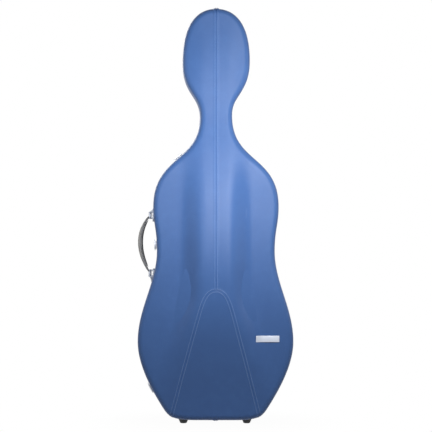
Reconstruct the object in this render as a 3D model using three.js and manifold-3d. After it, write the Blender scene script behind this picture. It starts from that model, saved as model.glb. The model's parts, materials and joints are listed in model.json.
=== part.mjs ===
// A hard case for a cello. Two deep moulded shells meet on a rim, hinged on the right and latched on the left.
// Millimetres: X runs to the right, Y from front to back, Z up from the floor. The shells part where Y is 0.
import * as THREE from "three";
import { mergeVertices } from "three/addons/utils/BufferGeometryUtils.js";
import Module from "manifold-3d";

const wasm = await Module();
wasm.setup();

// Outline of the case, seen from the front: half widths and the heights at which they lie
const crownHeight = 1348;
const headHalfWidth = 109;
const headHeight = 1177;
const neckHalfWidth = 51.6;
const neckHeight = 1000;
const upperBoutHalfWidth = 203;
const upperBoutHeight = 703;
const waistHalfWidth = 190.6;
const waistHeight = 561;
const lowerBoutHalfWidth = 252;
const lowerBoutHeight = 268;
const cornerHalfWidth = 167;
const cornerHeight = 48.7;
const baseHalfWidth = 60;
const baseHeight = 13;
const flankLean = THREE.MathUtils.degToRad(33);

// Depth of the two shells, from the parting plane to the skin
const lidBaseDepth = 98;
const lidBridgeDepth = 152;
const lidUpperDepth = 139;
const lidShoulderDepth = 114;
const lidNeckDepth = 90;
const lidHeadDepth = 88;
const lidCrownDepth = 70;
const lidBoutDepth = 102;
const bridgeHeight = 436;
const shoulderHeight = 862;
const bodyBaseDepth = 112;
const bodyBoutDepth = 130;
const bodyShoulderDepth = 113;
const bodyNeckDepth = 92;
const bodyHeadDepth = 90;
const bodyCrownDepth = 72;
const bodyBulge = 8;
const lidRound = 18;
const bodyRound = 40;

// The ridge down the middle of the lid, and the seam that opens below the bridge
const ridgeHalfWidth = 34;
const ridgeFlank = 86;
const seamSpread = 0.2374;
const seamRound = 236;
const weltWidth = 8;
const weltRise = 2;
const weltRoot = 1.5;

// Walls, linings and rims
const gap = 0.3;
const shellWall = 5;
const liningWall = 8;
const rimWidth = 10;
const rimInset = 2;
const rimStart = 1.2;
const rimEnd = 6;
const grooveDepth = 1.5;
const grooveEnd = 22;
const gasketInset = 6;
const gasketWidth = 4;
const gasketHalfThickness = 0.9;

// Hinges
const hingeLength = 60;
const hingeKnuckles = 5;
const knuckleGap = 0.5;
const knuckleRadius = 3;
const hingeBore = 1.6;
const hingePinRadius = 1.25;
const leafReach = 28;
const leafStart = 4.6;
const leafThickness = 1.6;
const leafSink = 0.7;
const hingeRelief = 5.6;
const rivetRadius = 2.8;
const rivetHeight = 1;
const rivetSpread = 20;
const rivetRows = [12, 22];

// Carrying handle on the left side
const handleClear = 12.1;
const handleAxisBack = 22;
const handleEyeRadius = 5;
const handleEyeHalfHeight = 5.7;
const handlePinRadius = 2;
const handleUpperEye = 676;
const handleSpan = 190;
const handleLowerEye = handleUpperEye - handleSpan;
const handleBow = 45.5;
const handleUpperBend = 49;
const handleLowerBend = 68;
const handleUpperBow = handleUpperEye - handleUpperBend;
const handleLowerBow = handleLowerEye + handleLowerBend;
const gripWidth = 26;
const gripThickness = 11.5;
const gripEndWidth = 8;
const gripEndThickness = 5;
const underWidth = 18;
const underThickness = 4.8;
const underStart = 0.08;
const forkLugHeight = 6;
const forkRootHalfWidth = 3.4;
const bracketHalfWidth = 14;
const bracketReach = 21;
const bracketTail = 33;
const bracketPlate = 4;

// Latches
const shoulderLatchRise = 2;
const waistLatchRise = 93;
const lowerLatchHeight = 112;
const latchHeights = {
  shoulder: shoulderHeight + shoulderLatchRise,
  waist: handleLowerEye + waistLatchRise,
  lower: lowerLatchHeight,
};
const latchHalfWidth = 17;
const latchBaseStart = 7;
const latchBaseEnd = 33;
const latchPlate = 1.6;
const latchPinOut = 4.6;
const latchPinBack = 13;
const latchPinRadius = 1.2;
const latchBore = 1.5;
const latchEarInside = 5;
const latchEarWidth = 3;
const latchEarRadius = 3.1;
const cheekInside = 8.6;
const cheekWidth = 2.7;
const leverRoot = 12.4;
const leverShoulder = 23.5;
const leverEnd = 37;
const leverHalfWidth = 18;
const leverUnderside = 8.1;
const leverThickness = 1.7;
const bailPivotBack = 17.4;
const bailPivotOut = 5.2;
const bailPinRadius = 1.1;
const bailArmInside = 11.8;
const bailArmWidth = 2.2;
const bailArmHalfHeight = 1.5;
const bailCrossStart = -3;
const bailCrossEnd = -14;
const bailCrossRise = 1;
const keeperStart = -8;
const keeperEnd = -24;
const keeperHalfWidth = 15;
const keeperBarStart = -9.5;
const keeperBarEnd = -12;
const keeperBarHalfWidth = 10;

// Feet
const footTopRadius = 16;
const footBottomRadius = 11;
const footEdge = 1.5;
const footSpacing = 103;
const lidFootFront = -42;
const bodyFootBack = 52;
const backFootRadius = 14;
const backFootTipRadius = 10;
const backFootPlane = 147;
const backFootHalfSpacing = 95;
const backFootHeights = { lower: 250, upper: 690 };

// Rings on the back for the shoulder straps
const strapRings = {
  top: { across: 0, height: 968 },
  left: { across: -112, height: 128 },
  right: { across: 112, height: 128 },
};
const ringWire = 2.5;
const ringHalfWidth = 17;
const ringDrop = 25;
const ringStandOff = 9;
const ringPlateHalfWidth = 22;
const ringPlateHalfHeight = 13;
const ringPlateThickness = 2.2;
const ringLoopHalfWidth = 10;
const ringLoopWall = 2;

// Name plate, left bare
const plateFromEdge = 84.4;
const plateRise = 10;
const plateAcross = lowerBoutHalfWidth - plateFromEdge;
const plateHeight = lowerBoutHeight + plateRise;
const plateHalfWidth = 38;
const plateHalfHeight = 10.4;
const plateThickness = 1.8;

// Pads and holders inside
const suspensionHalfWidth = 92;
const suspensionHalfHeight = 33;
const suspensionThickness = 26;
const suspensionHeights = { lower: 140, upper: 742 };
const suspensionEase = 8;
const endBlockHalfWidth = 44;
const endBlockTop = 60;
const endBlockStart = 16;
const endBlockNotch = 12;
const cradleHeight = 930;
const cradleHalfHeight = 26;
const cradleStart = 18;
const cradleNotchHalfWidth = 22;
const cradleNotchEnd = 52;
const strapHalfLength = 43;
const strapHalfWidth = 12;
const strapThickness = 2.4;
const bowAcross = 62;
const bowPocketHeight = 815;
const bowPocketHalfLength = 42;
const bowPocketHalfWidth = 17;
const bowPocketDepth = 24;
const bowPocketWall = 3;
const bowClipHeight = 262;
const bowPostRadius = 8;
const bowPostHeight = 18;
const bowPostClear = 0.6;
const bowBarHalfLength = 27;
const bowBarHalfWidth = 8;
const bowBarThickness = 5;

// How finely the round shapes are cut, and one overrun for every cut
const smallRound = 8;
const largeRound = 16;
const wireSides = 8;
const overrun = 20;

const leather = new THREE.MeshStandardMaterial({ color: 0x34608f, roughness: 0.55, metalness: 0 });
const rimPlastic = new THREE.MeshStandardMaterial({ color: 0x22262c, roughness: 0.6, metalness: 0 });
const rubber = new THREE.MeshStandardMaterial({ color: 0x1b1d1c, roughness: 0.85, metalness: 0 });
const velvet = new THREE.MeshStandardMaterial({ color: 0x6f757d, roughness: 0.95, metalness: 0 });
const satinMetal = new THREE.MeshStandardMaterial({ color: 0xcdd1d8, roughness: 0.35, metalness: 0.9 });
const steel = new THREE.MeshStandardMaterial({ color: 0xb4b8bd, roughness: 0.3, metalness: 1 });
const gripLeather = new THREE.MeshStandardMaterial({ color: 0x8d8f8e, roughness: 0.6, metalness: 0 });
const gripRubber = new THREE.MeshStandardMaterial({ color: 0x35342f, roughness: 0.8, metalness: 0 });

const caseModel = new THREE.Group();

// Solids: closing a mesh, and joining and cutting meshes

// A closed mesh with shared corners, no empty triangles and its faces pointing out.
function tidy(positions, triangles) {
  const loose = new THREE.BufferGeometry();
  loose.setAttribute("position", new THREE.Float32BufferAttribute(positions, 3));
  if (triangles) loose.setIndex(triangles);
  const merged = mergeVertices(loose, 1e-3);
  const corner = merged.index.array;
  const kept = [];
  const at = (i) => new THREE.Vector3().fromBufferAttribute(merged.attributes.position, i);
  let volume = 0;
  for (let i = 0; i < corner.length; i += 3) {
    const [a, b, c] = [corner[i], corner[i + 1], corner[i + 2]];
    if (a === b || b === c || c === a) continue;
    kept.push([a, b, c]);
    volume += at(a).dot(at(b).cross(at(c)));
  }
  const facing = volume < 0 ? kept.map(([a, b, c]) => [a, c, b]) : kept;
  merged.setIndex(facing.flat());
  return merged;
}

// A closed mesh from a chain of loops, with both ends filled in.
function skinned(chain) {
  const sides = chain[0].length;
  const last = (chain.length - 1) * sides;
  const triangles = [];
  for (let r = 0; r + 1 < chain.length; r++) {
    for (let i = 0; i < sides; i++) {
      const [a, b] = [r * sides + i, r * sides + ((i + 1) % sides)];
      triangles.push(a, b, b + sides, a, b + sides, a + sides);
    }
  }
  for (let i = 1; i + 1 < sides; i++) {
    triangles.push(0, i + 1, i, last, last + i, last + i + 1);
  }
  return tidy(chain.flat(2), triangles);
}

function plain(geometry) {
  const positions = Array.from(geometry.attributes.position.array);
  return tidy(positions, geometry.index ? Array.from(geometry.index.array) : null);
}

function solidOf(geometry) {
  const closed = plain(geometry);
  return new wasm.Manifold(
    new wasm.Mesh({
      numProp: 3,
      vertProperties: new Float32Array(closed.attributes.position.array),
      triVerts: new Uint32Array(closed.index.array),
    }),
  );
}

function geometryOf(solid) {
  const mesh = solid.getMesh();
  const points = [];
  for (let i = 0; i < mesh.numVert; i++) {
    points.push(...mesh.vertProperties.slice(i * mesh.numProp, i * mesh.numProp + 3));
  }
  const geometry = new THREE.BufferGeometry();
  geometry.setAttribute("position", new THREE.Float32BufferAttribute(points, 3));
  geometry.setIndex(Array.from(mesh.triVerts));
  geometry.computeVertexNormals();
  return geometry;
}

const join = (first, ...others) =>
  geometryOf(others.reduce((sum, other) => sum.add(solidOf(other)), solidOf(first)));
const cut = (first, ...others) =>
  geometryOf(others.reduce((rest, other) => rest.subtract(solidOf(other)), solidOf(first)));
const overlapOf = (first, other) => geometryOf(solidOf(first).intersect(solidOf(other)));

// A box between two corners.
function block(from, to) {
  const size = from.map((start, axis) => Math.abs(to[axis] - start));
  const middle = from.map((start, axis) => (to[axis] + start) / 2);
  return new THREE.BoxGeometry(...size).translate(...middle);
}

// A round bar along one axis between two places on it.
function bar(axis, radius, from, to, centre, sides = smallRound) {
  const shape = new THREE.CylinderGeometry(radius, radius, Math.abs(to - from), sides);
  if (axis === "x") shape.rotateZ(Math.PI / 2);
  if (axis === "z") shape.rotateX(Math.PI / 2);
  const along = (from + to) / 2;
  const [a, b] = centre;
  const place = { x: [along, a, b], y: [a, along, b], z: [a, b, along] }[axis];
  return shape.translate(...place);
}

// A flat outline in two axes, given a thickness along the third.
function slab(outline, axis, from, to) {
  const shape = new THREE.Shape(outline.map(([a, b]) => new THREE.Vector2(a, b)));
  const flat = new THREE.ExtrudeGeometry(shape, { depth: Math.abs(to - from), bevelEnabled: false });
  flat.translate(0, 0, Math.min(from, to));
  const [alongX, alongY, alongZ] = [0, 1, 2].map((i) => new THREE.Vector3().setComponent(i, 1));
  const axes = { x: [alongY, alongZ, alongX], y: [alongX, alongZ, alongY], z: [alongX, alongY, alongZ] }[axis];
  return plain(flat.applyMatrix4(new THREE.Matrix4().makeBasis(...axes)));
}

// A turned piece about Z from [radius, height] pairs that close on themselves.
function turned(profile, sides = largeRound) {
  const closed = [...profile, profile[0]].map(([radius, height]) => new THREE.Vector2(radius, height));
  return new THREE.LatheGeometry(closed, sides).rotateX(Math.PI / 2);
}

// Adds a mesh to its group. The frame is where the piece's own axes lie.
function addPiece(name, geometry, material, frame = caseModel) {
  const mesh = new THREE.Mesh(geometry, material);
  mesh.name = name;
  frame.add(mesh);
  return mesh;
}

// A group whose axes lie along three directions from an origin.
function frameAt(origin, xAxis, yAxis, zAxis) {
  const frame = new THREE.Group();
  const turn = new THREE.Matrix4().makeBasis(xAxis, yAxis, zAxis);
  frame.quaternion.setFromRotationMatrix(turn);
  frame.position.copy(origin);
  caseModel.add(frame);
  frame.updateMatrixWorld(true);
  return frame;
}

// Cuts a piece, drawn in its frame, with a solid that is drawn in the axes of the whole case.
function fitted(geometry, frame, cutter) {
  const placed = geometry.clone().applyMatrix4(frame.matrixWorld);
  return cut(placed, cutter).applyMatrix4(frame.matrixWorld.clone().invert());
}

// Shape of the case

const point = (x, z) => new THREE.Vector2(x, z);

// The right-hand half of the outline, from the middle of the base up to the crown.
function outlineCurves() {
  const corner = point(cornerHalfWidth, cornerHeight);
  const lean = point(Math.sin(flankLean), Math.cos(flankLean));
  const baseHandleShare = 0.7;
  const cornerHandleShare = 0.29;
  const flankHandleShare = 0.616;
  const boutHandleShare = 0.182;
  const cornerRun = cornerHalfWidth - baseHalfWidth;
  const flankRise = lowerBoutHeight - cornerHeight;
  const lower = point(lowerBoutHalfWidth, lowerBoutHeight);
  const waist = point(waistHalfWidth, waistHeight);
  const upper = point(upperBoutHalfWidth, upperBoutHeight);
  const neck = point(neckHalfWidth, neckHeight);
  const head = point(headHalfWidth, headHeight);
  const crown = point(0, crownHeight);
  const upright = (from, to, startShare, endShare) =>
    new THREE.CubicBezierCurve(
      from,
      point(from.x, from.y + startShare * (to.y - from.y)),
      point(to.x, to.y - endShare * (to.y - from.y)),
      to,
    );
  const headSideShare = 0.836;
  const crownShare = 0.42;
  return [
    { curve: new THREE.LineCurve(point(0, baseHeight), point(baseHalfWidth, baseHeight)), steps: 1 },
    {
      curve: new THREE.CubicBezierCurve(
        point(baseHalfWidth, baseHeight),
        point(baseHalfWidth + baseHandleShare * cornerRun, baseHeight),
        corner.clone().addScaledVector(lean, -cornerHandleShare * cornerRun),
        corner,
      ),
      steps: 4,
    },
    {
      curve: new THREE.CubicBezierCurve(
        corner,
        corner.clone().addScaledVector(lean, flankHandleShare * flankRise),
        point(lowerBoutHalfWidth, lowerBoutHeight - boutHandleShare * flankRise),
        lower,
      ),
      steps: 6,
    },
    { curve: upright(lower, waist, 0.367, 0.345), steps: 6 },
    { curve: upright(waist, upper, 0.486, 0.392), steps: 3 },
    { curve: upright(upper, neck, 0.574, 0.527), steps: 8 },
    { curve: upright(neck, head, 0.398, 0.584), steps: 6 },
    {
      curve: new THREE.CubicBezierCurve(
        head,
        point(headHalfWidth, headHeight + headSideShare * (crownHeight - headHeight)),
        point(crownShare * headHalfWidth, crownHeight),
        crown,
      ),
      steps: 8,
    },
  ];
}

// Points on the right-hand half, each with the direction that faces out of the case.
function halfOutline(stepScale) {
  const found = [];
  for (const { curve, steps } of outlineCurves()) {
    const count = steps * stepScale;
    for (let i = 0; i < count; i++) {
      const place = curve.getPoint(i / count);
      const along = curve.getTangent(i / count);
      found.push({ x: place.x, z: place.y, outX: along.y, outZ: -along.x });
    }
  }
  found.push({ x: 0, z: crownHeight, outX: 0, outZ: 1 });
  found[0].outX = 0;
  return found;
}

const right = halfOutline(1);
const left = right.slice(1, -1).reverse();
const outline = [...right, ...left.map((p) => ({ x: -p.x, z: p.z, outX: -p.outX, outZ: p.outZ }))];
const fineOutline = halfOutline(8);

// Where the right-hand edge lies at a height, and which way it faces.
function edgeAt(height) {
  const next = fineOutline.findIndex((p, i) => i > 0 && p.z >= height && fineOutline[i - 1].z < height);
  const [below, above] = [fineOutline[next - 1], fineOutline[next]];
  const share = (height - below.z) / (above.z - below.z);
  const mix = (key) => below[key] + share * (above[key] - below[key]);
  const out = point(mix("outX"), mix("outZ")).normalize();
  return { x: mix("x"), z: height, outX: out.x, outZ: out.y };
}

// A smooth curve through [height, value] stations.
function smoothThrough(stations, height) {
  const last = stations.length - 1;
  const z = Math.min(Math.max(height, stations[0][0]), stations[last][0]);
  let k = 0;
  while (k < last - 1 && z > stations[k + 1][0]) k++;
  const slope = (i) => {
    if (i === 0 || i === last) return 0;
    return (stations[i + 1][1] - stations[i - 1][1]) / (stations[i + 1][0] - stations[i - 1][0]);
  };
  const span = stations[k + 1][0] - stations[k][0];
  const t = (z - stations[k][0]) / span;
  const rise = t * t * (3 - 2 * t);
  const start = t * (1 - t) * (1 - t);
  const end = t * t * (t - 1);
  return (
    stations[k][1] * (1 - rise) + stations[k + 1][1] * rise + span * (slope(k) * start + slope(k + 1) * end)
  );
}

// Half the width between the two lower seams at a height: nothing at the bridge, widest at the base.
function seamHalfWidth(height) {
  const below = Math.max(bridgeHeight - height, 0);
  return seamSpread * Math.sqrt(below * (below + 2 * seamRound));
}

const lidCrest = [
  [baseHeight, lidBaseDepth],
  [bridgeHeight, lidBridgeDepth],
  [upperBoutHeight, lidUpperDepth],
  [shoulderHeight, lidShoulderDepth],
  [neckHeight, lidNeckDepth],
  [headHeight, lidHeadDepth],
  [crownHeight, lidCrownDepth],
];
const lidEdgeShare = 0.9;
const lidEdge = [
  [baseHeight, lidBaseDepth],
  [lowerBoutHeight, lidBoutDepth],
  [upperBoutHeight, lidBoutDepth],
  [shoulderHeight, lidShoulderDepth * lidEdgeShare],
  [neckHeight, lidNeckDepth * lidEdgeShare],
  [headHeight, lidHeadDepth * lidEdgeShare],
  [crownHeight, lidCrownDepth],
];
const bodyBack = [
  [baseHeight, bodyBaseDepth],
  [lowerBoutHeight, bodyBoutDepth],
  [upperBoutHeight, bodyBoutDepth],
  [shoulderHeight, bodyShoulderDepth],
  [neckHeight, bodyNeckDepth],
  [headHeight, bodyHeadDepth],
  [crownHeight, bodyCrownDepth],
];

function lidDepth(x, height) {
  const crest = smoothThrough(lidCrest, height);
  const edge = smoothThrough(lidEdge, height);
  const shoulder = Math.max(ridgeHalfWidth, seamHalfWidth(height));
  const t = Math.min(Math.max((Math.abs(x) - shoulder) / ridgeFlank, 0), 1);
  return crest + (edge - crest) * t * t * (3 - 2 * t);
}

function bodyDepth(x, height) {
  const across = x / lowerBoutHalfWidth;
  return smoothThrough(bodyBack, height) + bodyBulge * (1 - across * across);
}

const lidHalf = { side: -1, depth: lidDepth, round: lidRound };
const bodyHalf = { side: 1, depth: bodyDepth, round: bodyRound };

// The line down the middle that the face closes on, kept clear of the crown and the base.
function middleOf(place) {
  const lowest = baseHeight + bodyRound + bodyRound;
  const highest = crownHeight - bodyRound - bodyRound;
  return Math.min(Math.max(place.z, lowest), highest);
}

// One ring of points round the case, on a surface that lies a given inset under its skin. A step lies out along
// the wall, part of the turn from the wall to the face, or a share of the way from that turn to the middle line.
function ring(half, inset, step) {
  const radius = half.round - inset;
  return outline.map((o) => {
    const under = (offset) => point(o.x - o.outX * offset, o.z - o.outZ * offset);
    if (step.out !== undefined) {
      const p = under(inset + (step.shy ?? 0));
      return new THREE.Vector3(p.x, half.side * step.out, p.y);
    }
    const turn = THREE.MathUtils.degToRad(step.turn ?? 90);
    const p = under(inset + radius * (1 - Math.cos(turn)));
    const share = step.share ?? 0;
    const x = p.x * (1 - share);
    const z = p.y + (middleOf(o) - p.y) * share;
    const depth = half.depth(x, z) - inset - radius * (1 - Math.sin(turn));
    return new THREE.Vector3(x, half.side * depth, z);
  });
}

const rings = (half, inset, steps) => steps.map((step) => ring(half, inset, step));
const middleLine = (depth) => outline.map((o) => new THREE.Vector3(0, depth, middleOf(o)));

// A closed mesh from a chain of rings, which closes on the middle line at both ends or on its own first ring.
// Each square folds outwards along the diagonal that stands deeper, so skins that lie together fold alike.
function lofted(chain) {
  const count = outline.length;
  const points = chain.flat();
  const triangles = [];
  for (let r = 0; r + 1 < chain.length; r++) {
    for (let i = 0; i < count; i++) {
      const next = (i + 1) % count;
      const [a, b, c, d] = [r * count + i, r * count + next, (r + 1) * count + i, (r + 1) * count + next];
      const straight = Math.abs(points[a].y + points[d].y) > Math.abs(points[b].y + points[c].y);
      if (straight) triangles.push(a, b, d, a, d, c);
      else triangles.push(a, b, c, b, d, c);
    }
  }
  return tidy(points.flatMap((p) => [p.x, p.y, p.z]), triangles);
}

const seatStart = rimEnd + gap;
const skinSteps = [
  { out: seatStart, shy: grooveDepth },
  { out: grooveEnd },
  { turn: 0 },
  { turn: 30 },
  { turn: 60 },
  { turn: 90 },
  { share: 0.35 },
  { share: 0.7 },
  { share: 1 },
];
const innerSteps = [{ out: seatStart }, { turn: 0 }, { turn: 45 }, ...skinSteps.slice(5)];
const liningSteps = [{ out: seatStart }, { turn: 0 }, { turn: 90 }, ...skinSteps.slice(6)];
const liningInset = shellWall + gap;
const cavityInset = liningInset + liningWall;

const shellOf = (half) =>
  lofted([...rings(half, shellWall, innerSteps).reverse(), ...rings(half, 0, skinSteps)]);
const liningOf = (half) =>
  lofted([...rings(half, cavityInset, liningSteps).reverse(), ...rings(half, liningInset, liningSteps)]);

// All the space inside a skin or a cavity, back to the parting plane: what cuts a piece that lies against it.
function filled(half, inset, steps) {
  const start = { ...steps[0], out: 0 };
  return lofted([middleLine(0), ring(half, inset, start), ...rings(half, inset, steps)]);
}

// A strip that runs right round the case, from one inset to another and from one depth to another.
function strip(insets, depths) {
  const at = (inset, depth) =>
    outline.map((o) => new THREE.Vector3(o.x - o.outX * inset, depth, o.z - o.outZ * inset));
  const [near, far] = insets;
  const [front, back] = depths;
  return lofted([at(near, front), at(near, back), at(far, back), at(far, front), at(near, front)]);
}

const lidEnvelope = filled(lidHalf, -gap, skinSteps);
const bodyEnvelope = filled(bodyHalf, -gap, skinSteps);
const lidCavity = filled(lidHalf, cavityInset + gap, liningSteps);
const bodyCavity = filled(bodyHalf, cavityInset + gap, liningSteps);

// Hinges

// The straight line that touches the outline at both bouts: the lid can only swing about such a line.
function hingeLine() {
  const lowerSide = fineOutline.filter((p) => p.z < waistHeight);
  const upperSide = fineOutline.filter((p) => p.z > waistHeight);
  let slope = 0;
  let ends = [];
  for (let pass = 0; pass < 12; pass++) {
    const reach = (p) => p.x - slope * p.z;
    const furthest = (side) => side.reduce((best, p) => (reach(p) > reach(best) ? p : best));
    ends = [furthest(lowerSide), furthest(upperSide)];
    slope = (ends[1].x - ends[0].x) / (ends[1].z - ends[0].z);
  }
  return ends.map((p) => new THREE.Vector3(p.x, 0, p.z));
}

const hingeEnds = hingeLine();
const hingeUp = hingeEnds[1].clone().sub(hingeEnds[0]).normalize();
const across = new THREE.Vector3(0, 1, 0);
const hingeOut = across.clone().cross(hingeUp);
const hingeFrames = ["lower", "upper"].map((where, i) => ({
  where,
  frame: frameAt(hingeEnds[i], hingeOut, across, hingeUp),
}));
const leafOuter = -leafSink;
const leafInner = -leafSink - leafThickness;
const hingeHalf = hingeLength / 2;

// The room that a hinge needs in the rims and in the shell walls.
function hingeRoom(frame) {
  const reach = hingeHalf + gap;
  const barrel = bar("z", hingeRelief, -reach, reach, [0, 0]);
  const pocket = block([leafInner - gap, -leafReach - gap, -reach], [overrun, leafReach + gap, reach]);
  return join(barrel, pocket).applyMatrix4(frame.matrixWorld);
}

const hingeRooms = hingeFrames.map(({ frame }) => hingeRoom(frame));

// One leaf: a plate on the shell, with its share of the knuckles. The side is 1 on the body and -1 on the lid.
function hingeLeaf(side) {
  const pitch = hingeLength / hingeKnuckles;
  const parts = [
    block([leafInner, side * leafStart, -hingeHalf], [leafOuter, side * leafReach, hingeHalf]),
  ];
  for (let i = side > 0 ? 0 : 1; i < hingeKnuckles; i += 2) {
    const from = -hingeHalf + i * pitch + knuckleGap / 2;
    const to = from + pitch - knuckleGap;
    parts.push(bar("z", knuckleRadius, from, to, [0, 0]));
    parts.push(block([leafInner, 0, from], [leafOuter, side * (leafStart + gap), to]));
  }
  for (const row of rivetRows) {
    for (const end of [-1, 1]) {
      const head = [side * row, end * rivetSpread];
      parts.push(bar("x", rivetRadius, leafOuter - leafThickness / 2, leafOuter + rivetHeight, head));
    }
  }
  const bore = bar("z", hingeBore, -hingeLength, hingeLength, [0, 0]);
  return cut(join(...parts), bore);
}

for (const { where, frame } of hingeFrames) {
  addPiece(`hinge_${where}_body_leaf`, hingeLeaf(1), satinMetal, frame);
  addPiece(`hinge_${where}_lid_leaf`, hingeLeaf(-1), satinMetal, frame);
  addPiece(`hinge_${where}_pin`, bar("z", hingePinRadius, -hingeHalf, hingeHalf, [0, 0]), steel, frame);
}

// Shells, linings, rims and gasket

addPiece("body_shell", cut(shellOf(bodyHalf), ...hingeRooms), leather);
addPiece("lid_shell", cut(shellOf(lidHalf), ...hingeRooms), leather);
addPiece("body_lining", liningOf(bodyHalf), velvet);
addPiece("lid_lining", liningOf(lidHalf), velvet);
const rimInsets = [rimInset, rimInset + rimWidth];
addPiece("body_rim", cut(strip(rimInsets, [rimStart, rimEnd]), ...hingeRooms), rimPlastic);
addPiece("lid_rim", cut(strip(rimInsets, [-rimStart, -rimEnd]), ...hingeRooms), rimPlastic);
const gasketInsets = [gasketInset, gasketInset + gasketWidth];
addPiece("rim_gasket", strip(gasketInsets, [-gasketHalfThickness, gasketHalfThickness]), rubber);

// Raised seams down the middle of the lid and the back

// A welt that follows the middle of a half between two heights. It stands on the skin with its root.
function welt(half, from, to) {
  const steps = 20;
  const chain = [];
  for (let i = 0; i <= steps; i++) {
    const z = from + ((to - from) * i) / steps;
    const face = half.depth(0, z) + gap;
    const section = [
      [-weltWidth / 2, face - weltRoot],
      [-weltWidth / 2, face + weltRise / 3],
      [-weltWidth / 4, face + weltRise],
      [weltWidth / 4, face + weltRise],
      [weltWidth / 2, face + weltRise / 3],
      [weltWidth / 2, face - weltRoot],
    ];
    chain.push(section.map(([x, y]) => [x, half.side * y, z]));
  }
  return skinned(chain);
}

const weltTop = crownHeight - bodyRound;
const weltFoot = baseHeight + bodyRound;
addPiece("lid_seam_welt", cut(welt(lidHalf, bridgeHeight, weltTop), lidEnvelope), leather);
const backWeltTop = strapRings.top.height - ringPlateHalfHeight - weltWidth;
addPiece("back_seam_welt", cut(welt(bodyHalf, weltFoot, backWeltTop), bodyEnvelope), leather);

// Latches

const latchPinAt = [latchPinBack, latchPinOut];
const bailPinAt = [bailPivotBack, bailPivotOut];

function latchBase() {
  const plate = block([-latchHalfWidth, latchBaseStart, -overrun], [latchHalfWidth, latchBaseEnd, latchPlate]);
  const ears = [-1, 1].flatMap((side) => {
    const [near, far] = [side * latchEarInside, side * (latchEarInside + latchEarWidth)];
    const foot = [near, latchPinBack - latchEarRadius, -latchPlate];
    const top = [far, latchPinBack + latchEarRadius, latchPinOut];
    return [bar("x", latchEarRadius, near, far, latchPinAt), block(foot, top)];
  });
  const bore = bar("x", latchBore, -overrun, overrun, latchPinAt);
  return cut(join(plate, ...ears), bore);
}

// The lever lies flat when it is closed: a narrow neck over its pin, then a wide plate for the fingers.
function latchLever() {
  const neckHalfWidth = cheekInside + cheekWidth;
  const leverTop = leverUnderside + leverThickness;
  const neck = block([-neckHalfWidth, leverRoot, leverUnderside], [neckHalfWidth, leverShoulder, leverTop]);
  const edgeDrop = leverThickness;
  const plate = slab(
    [
      [-leverHalfWidth, leverUnderside - edgeDrop],
      [-neckHalfWidth, leverUnderside],
      [neckHalfWidth, leverUnderside],
      [leverHalfWidth, leverUnderside - edgeDrop],
      [leverHalfWidth, leverTop - edgeDrop],
      [neckHalfWidth, leverTop],
      [-neckHalfWidth, leverTop],
      [-leverHalfWidth, leverTop - edgeDrop],
    ],
    "y",
    leverShoulder - gap,
    leverEnd,
  );
  const nose = latchPinOut - latchPlate - gap;
  const cheekOutline = [
    [latchPinBack - nose, latchPinOut],
    [latchPinBack - nose * Math.SQRT1_2, latchPinOut - nose * Math.SQRT1_2],
    [latchPinBack, latchPinOut - nose],
    [bailPivotBack + latchBore + latchEarWidth / 2, latchPinOut - nose],
    [bailPivotBack + latchBore + latchEarWidth / 2, leverUnderside + gap],
    [leverRoot, leverUnderside + gap],
    [latchPinBack - nose * Math.SQRT1_2, latchPinOut + nose * Math.SQRT1_2],
  ];
  const cheeks = [-1, 1].map((side) =>
    slab(cheekOutline, "x", side * cheekInside, side * (cheekInside + cheekWidth)),
  );
  const pinBore = bar("x", latchBore, -overrun, overrun, latchPinAt);
  const bailBore = bar("x", bailPinRadius + gap, -overrun, overrun, bailPinAt);
  return cut(join(neck, plate, ...cheeks), pinBore, bailBore);
}

// The bail: two arms outside the lever, joined by a cross bar over the keeper.
function latchBail() {
  const outside = bailArmInside + bailArmWidth;
  const low = bailPivotOut - bailArmHalfHeight;
  const high = bailPivotOut + bailArmHalfHeight;
  const arms = [-1, 1].flatMap((side) => [
    block(
      [side * bailArmInside, bailCrossStart - bailArmWidth, low],
      [side * outside, bailPivotBack, high],
    ),
    bar("x", bailArmHalfHeight, side * bailArmInside, side * outside, bailPinAt),
    bar("x", bailPinRadius, side * (cheekInside + gap), side * (bailArmInside + gap), bailPinAt),
  ]);
  const crossLow = high - bailArmWidth + gap;
  const cross = block([-outside, bailCrossEnd, crossLow], [outside, bailCrossStart, high + bailCrossRise]);
  return join(cross, ...arms);
}

function latchKeeper() {
  const plate = block([-keeperHalfWidth, keeperEnd, -overrun], [keeperHalfWidth, keeperStart, latchPlate]);
  const barTop = bailPivotOut + bailArmHalfHeight - bailArmWidth;
  const catchBar = block(
    [-keeperBarHalfWidth, keeperBarEnd, -latchPlate],
    [keeperBarHalfWidth, keeperBarStart, barTop],
  );
  return join(plate, catchBar);
}

for (const [where, height] of Object.entries(latchHeights)) {
  const edge = edgeAt(height);
  const out = new THREE.Vector3(-edge.outX, 0, edge.outZ);
  const frame = frameAt(new THREE.Vector3(-edge.x, 0, height), across.clone().cross(out), across, out);
  const pinHalf = cheekInside + cheekWidth;
  addPiece(`latch_${where}_base`, fitted(latchBase(), frame, bodyEnvelope), satinMetal, frame);
  addPiece(`latch_${where}_pin`, bar("x", latchPinRadius, -pinHalf, pinHalf, latchPinAt), steel, frame);
  addPiece(`latch_${where}_lever`, latchLever(), satinMetal, frame);
  addPiece(`latch_${where}_bail`, latchBail(), steel, frame);
  addPiece(`latch_${where}_keeper`, fitted(latchKeeper(), frame, lidEnvelope), satinMetal, frame);
}

// Carrying handle

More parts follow.
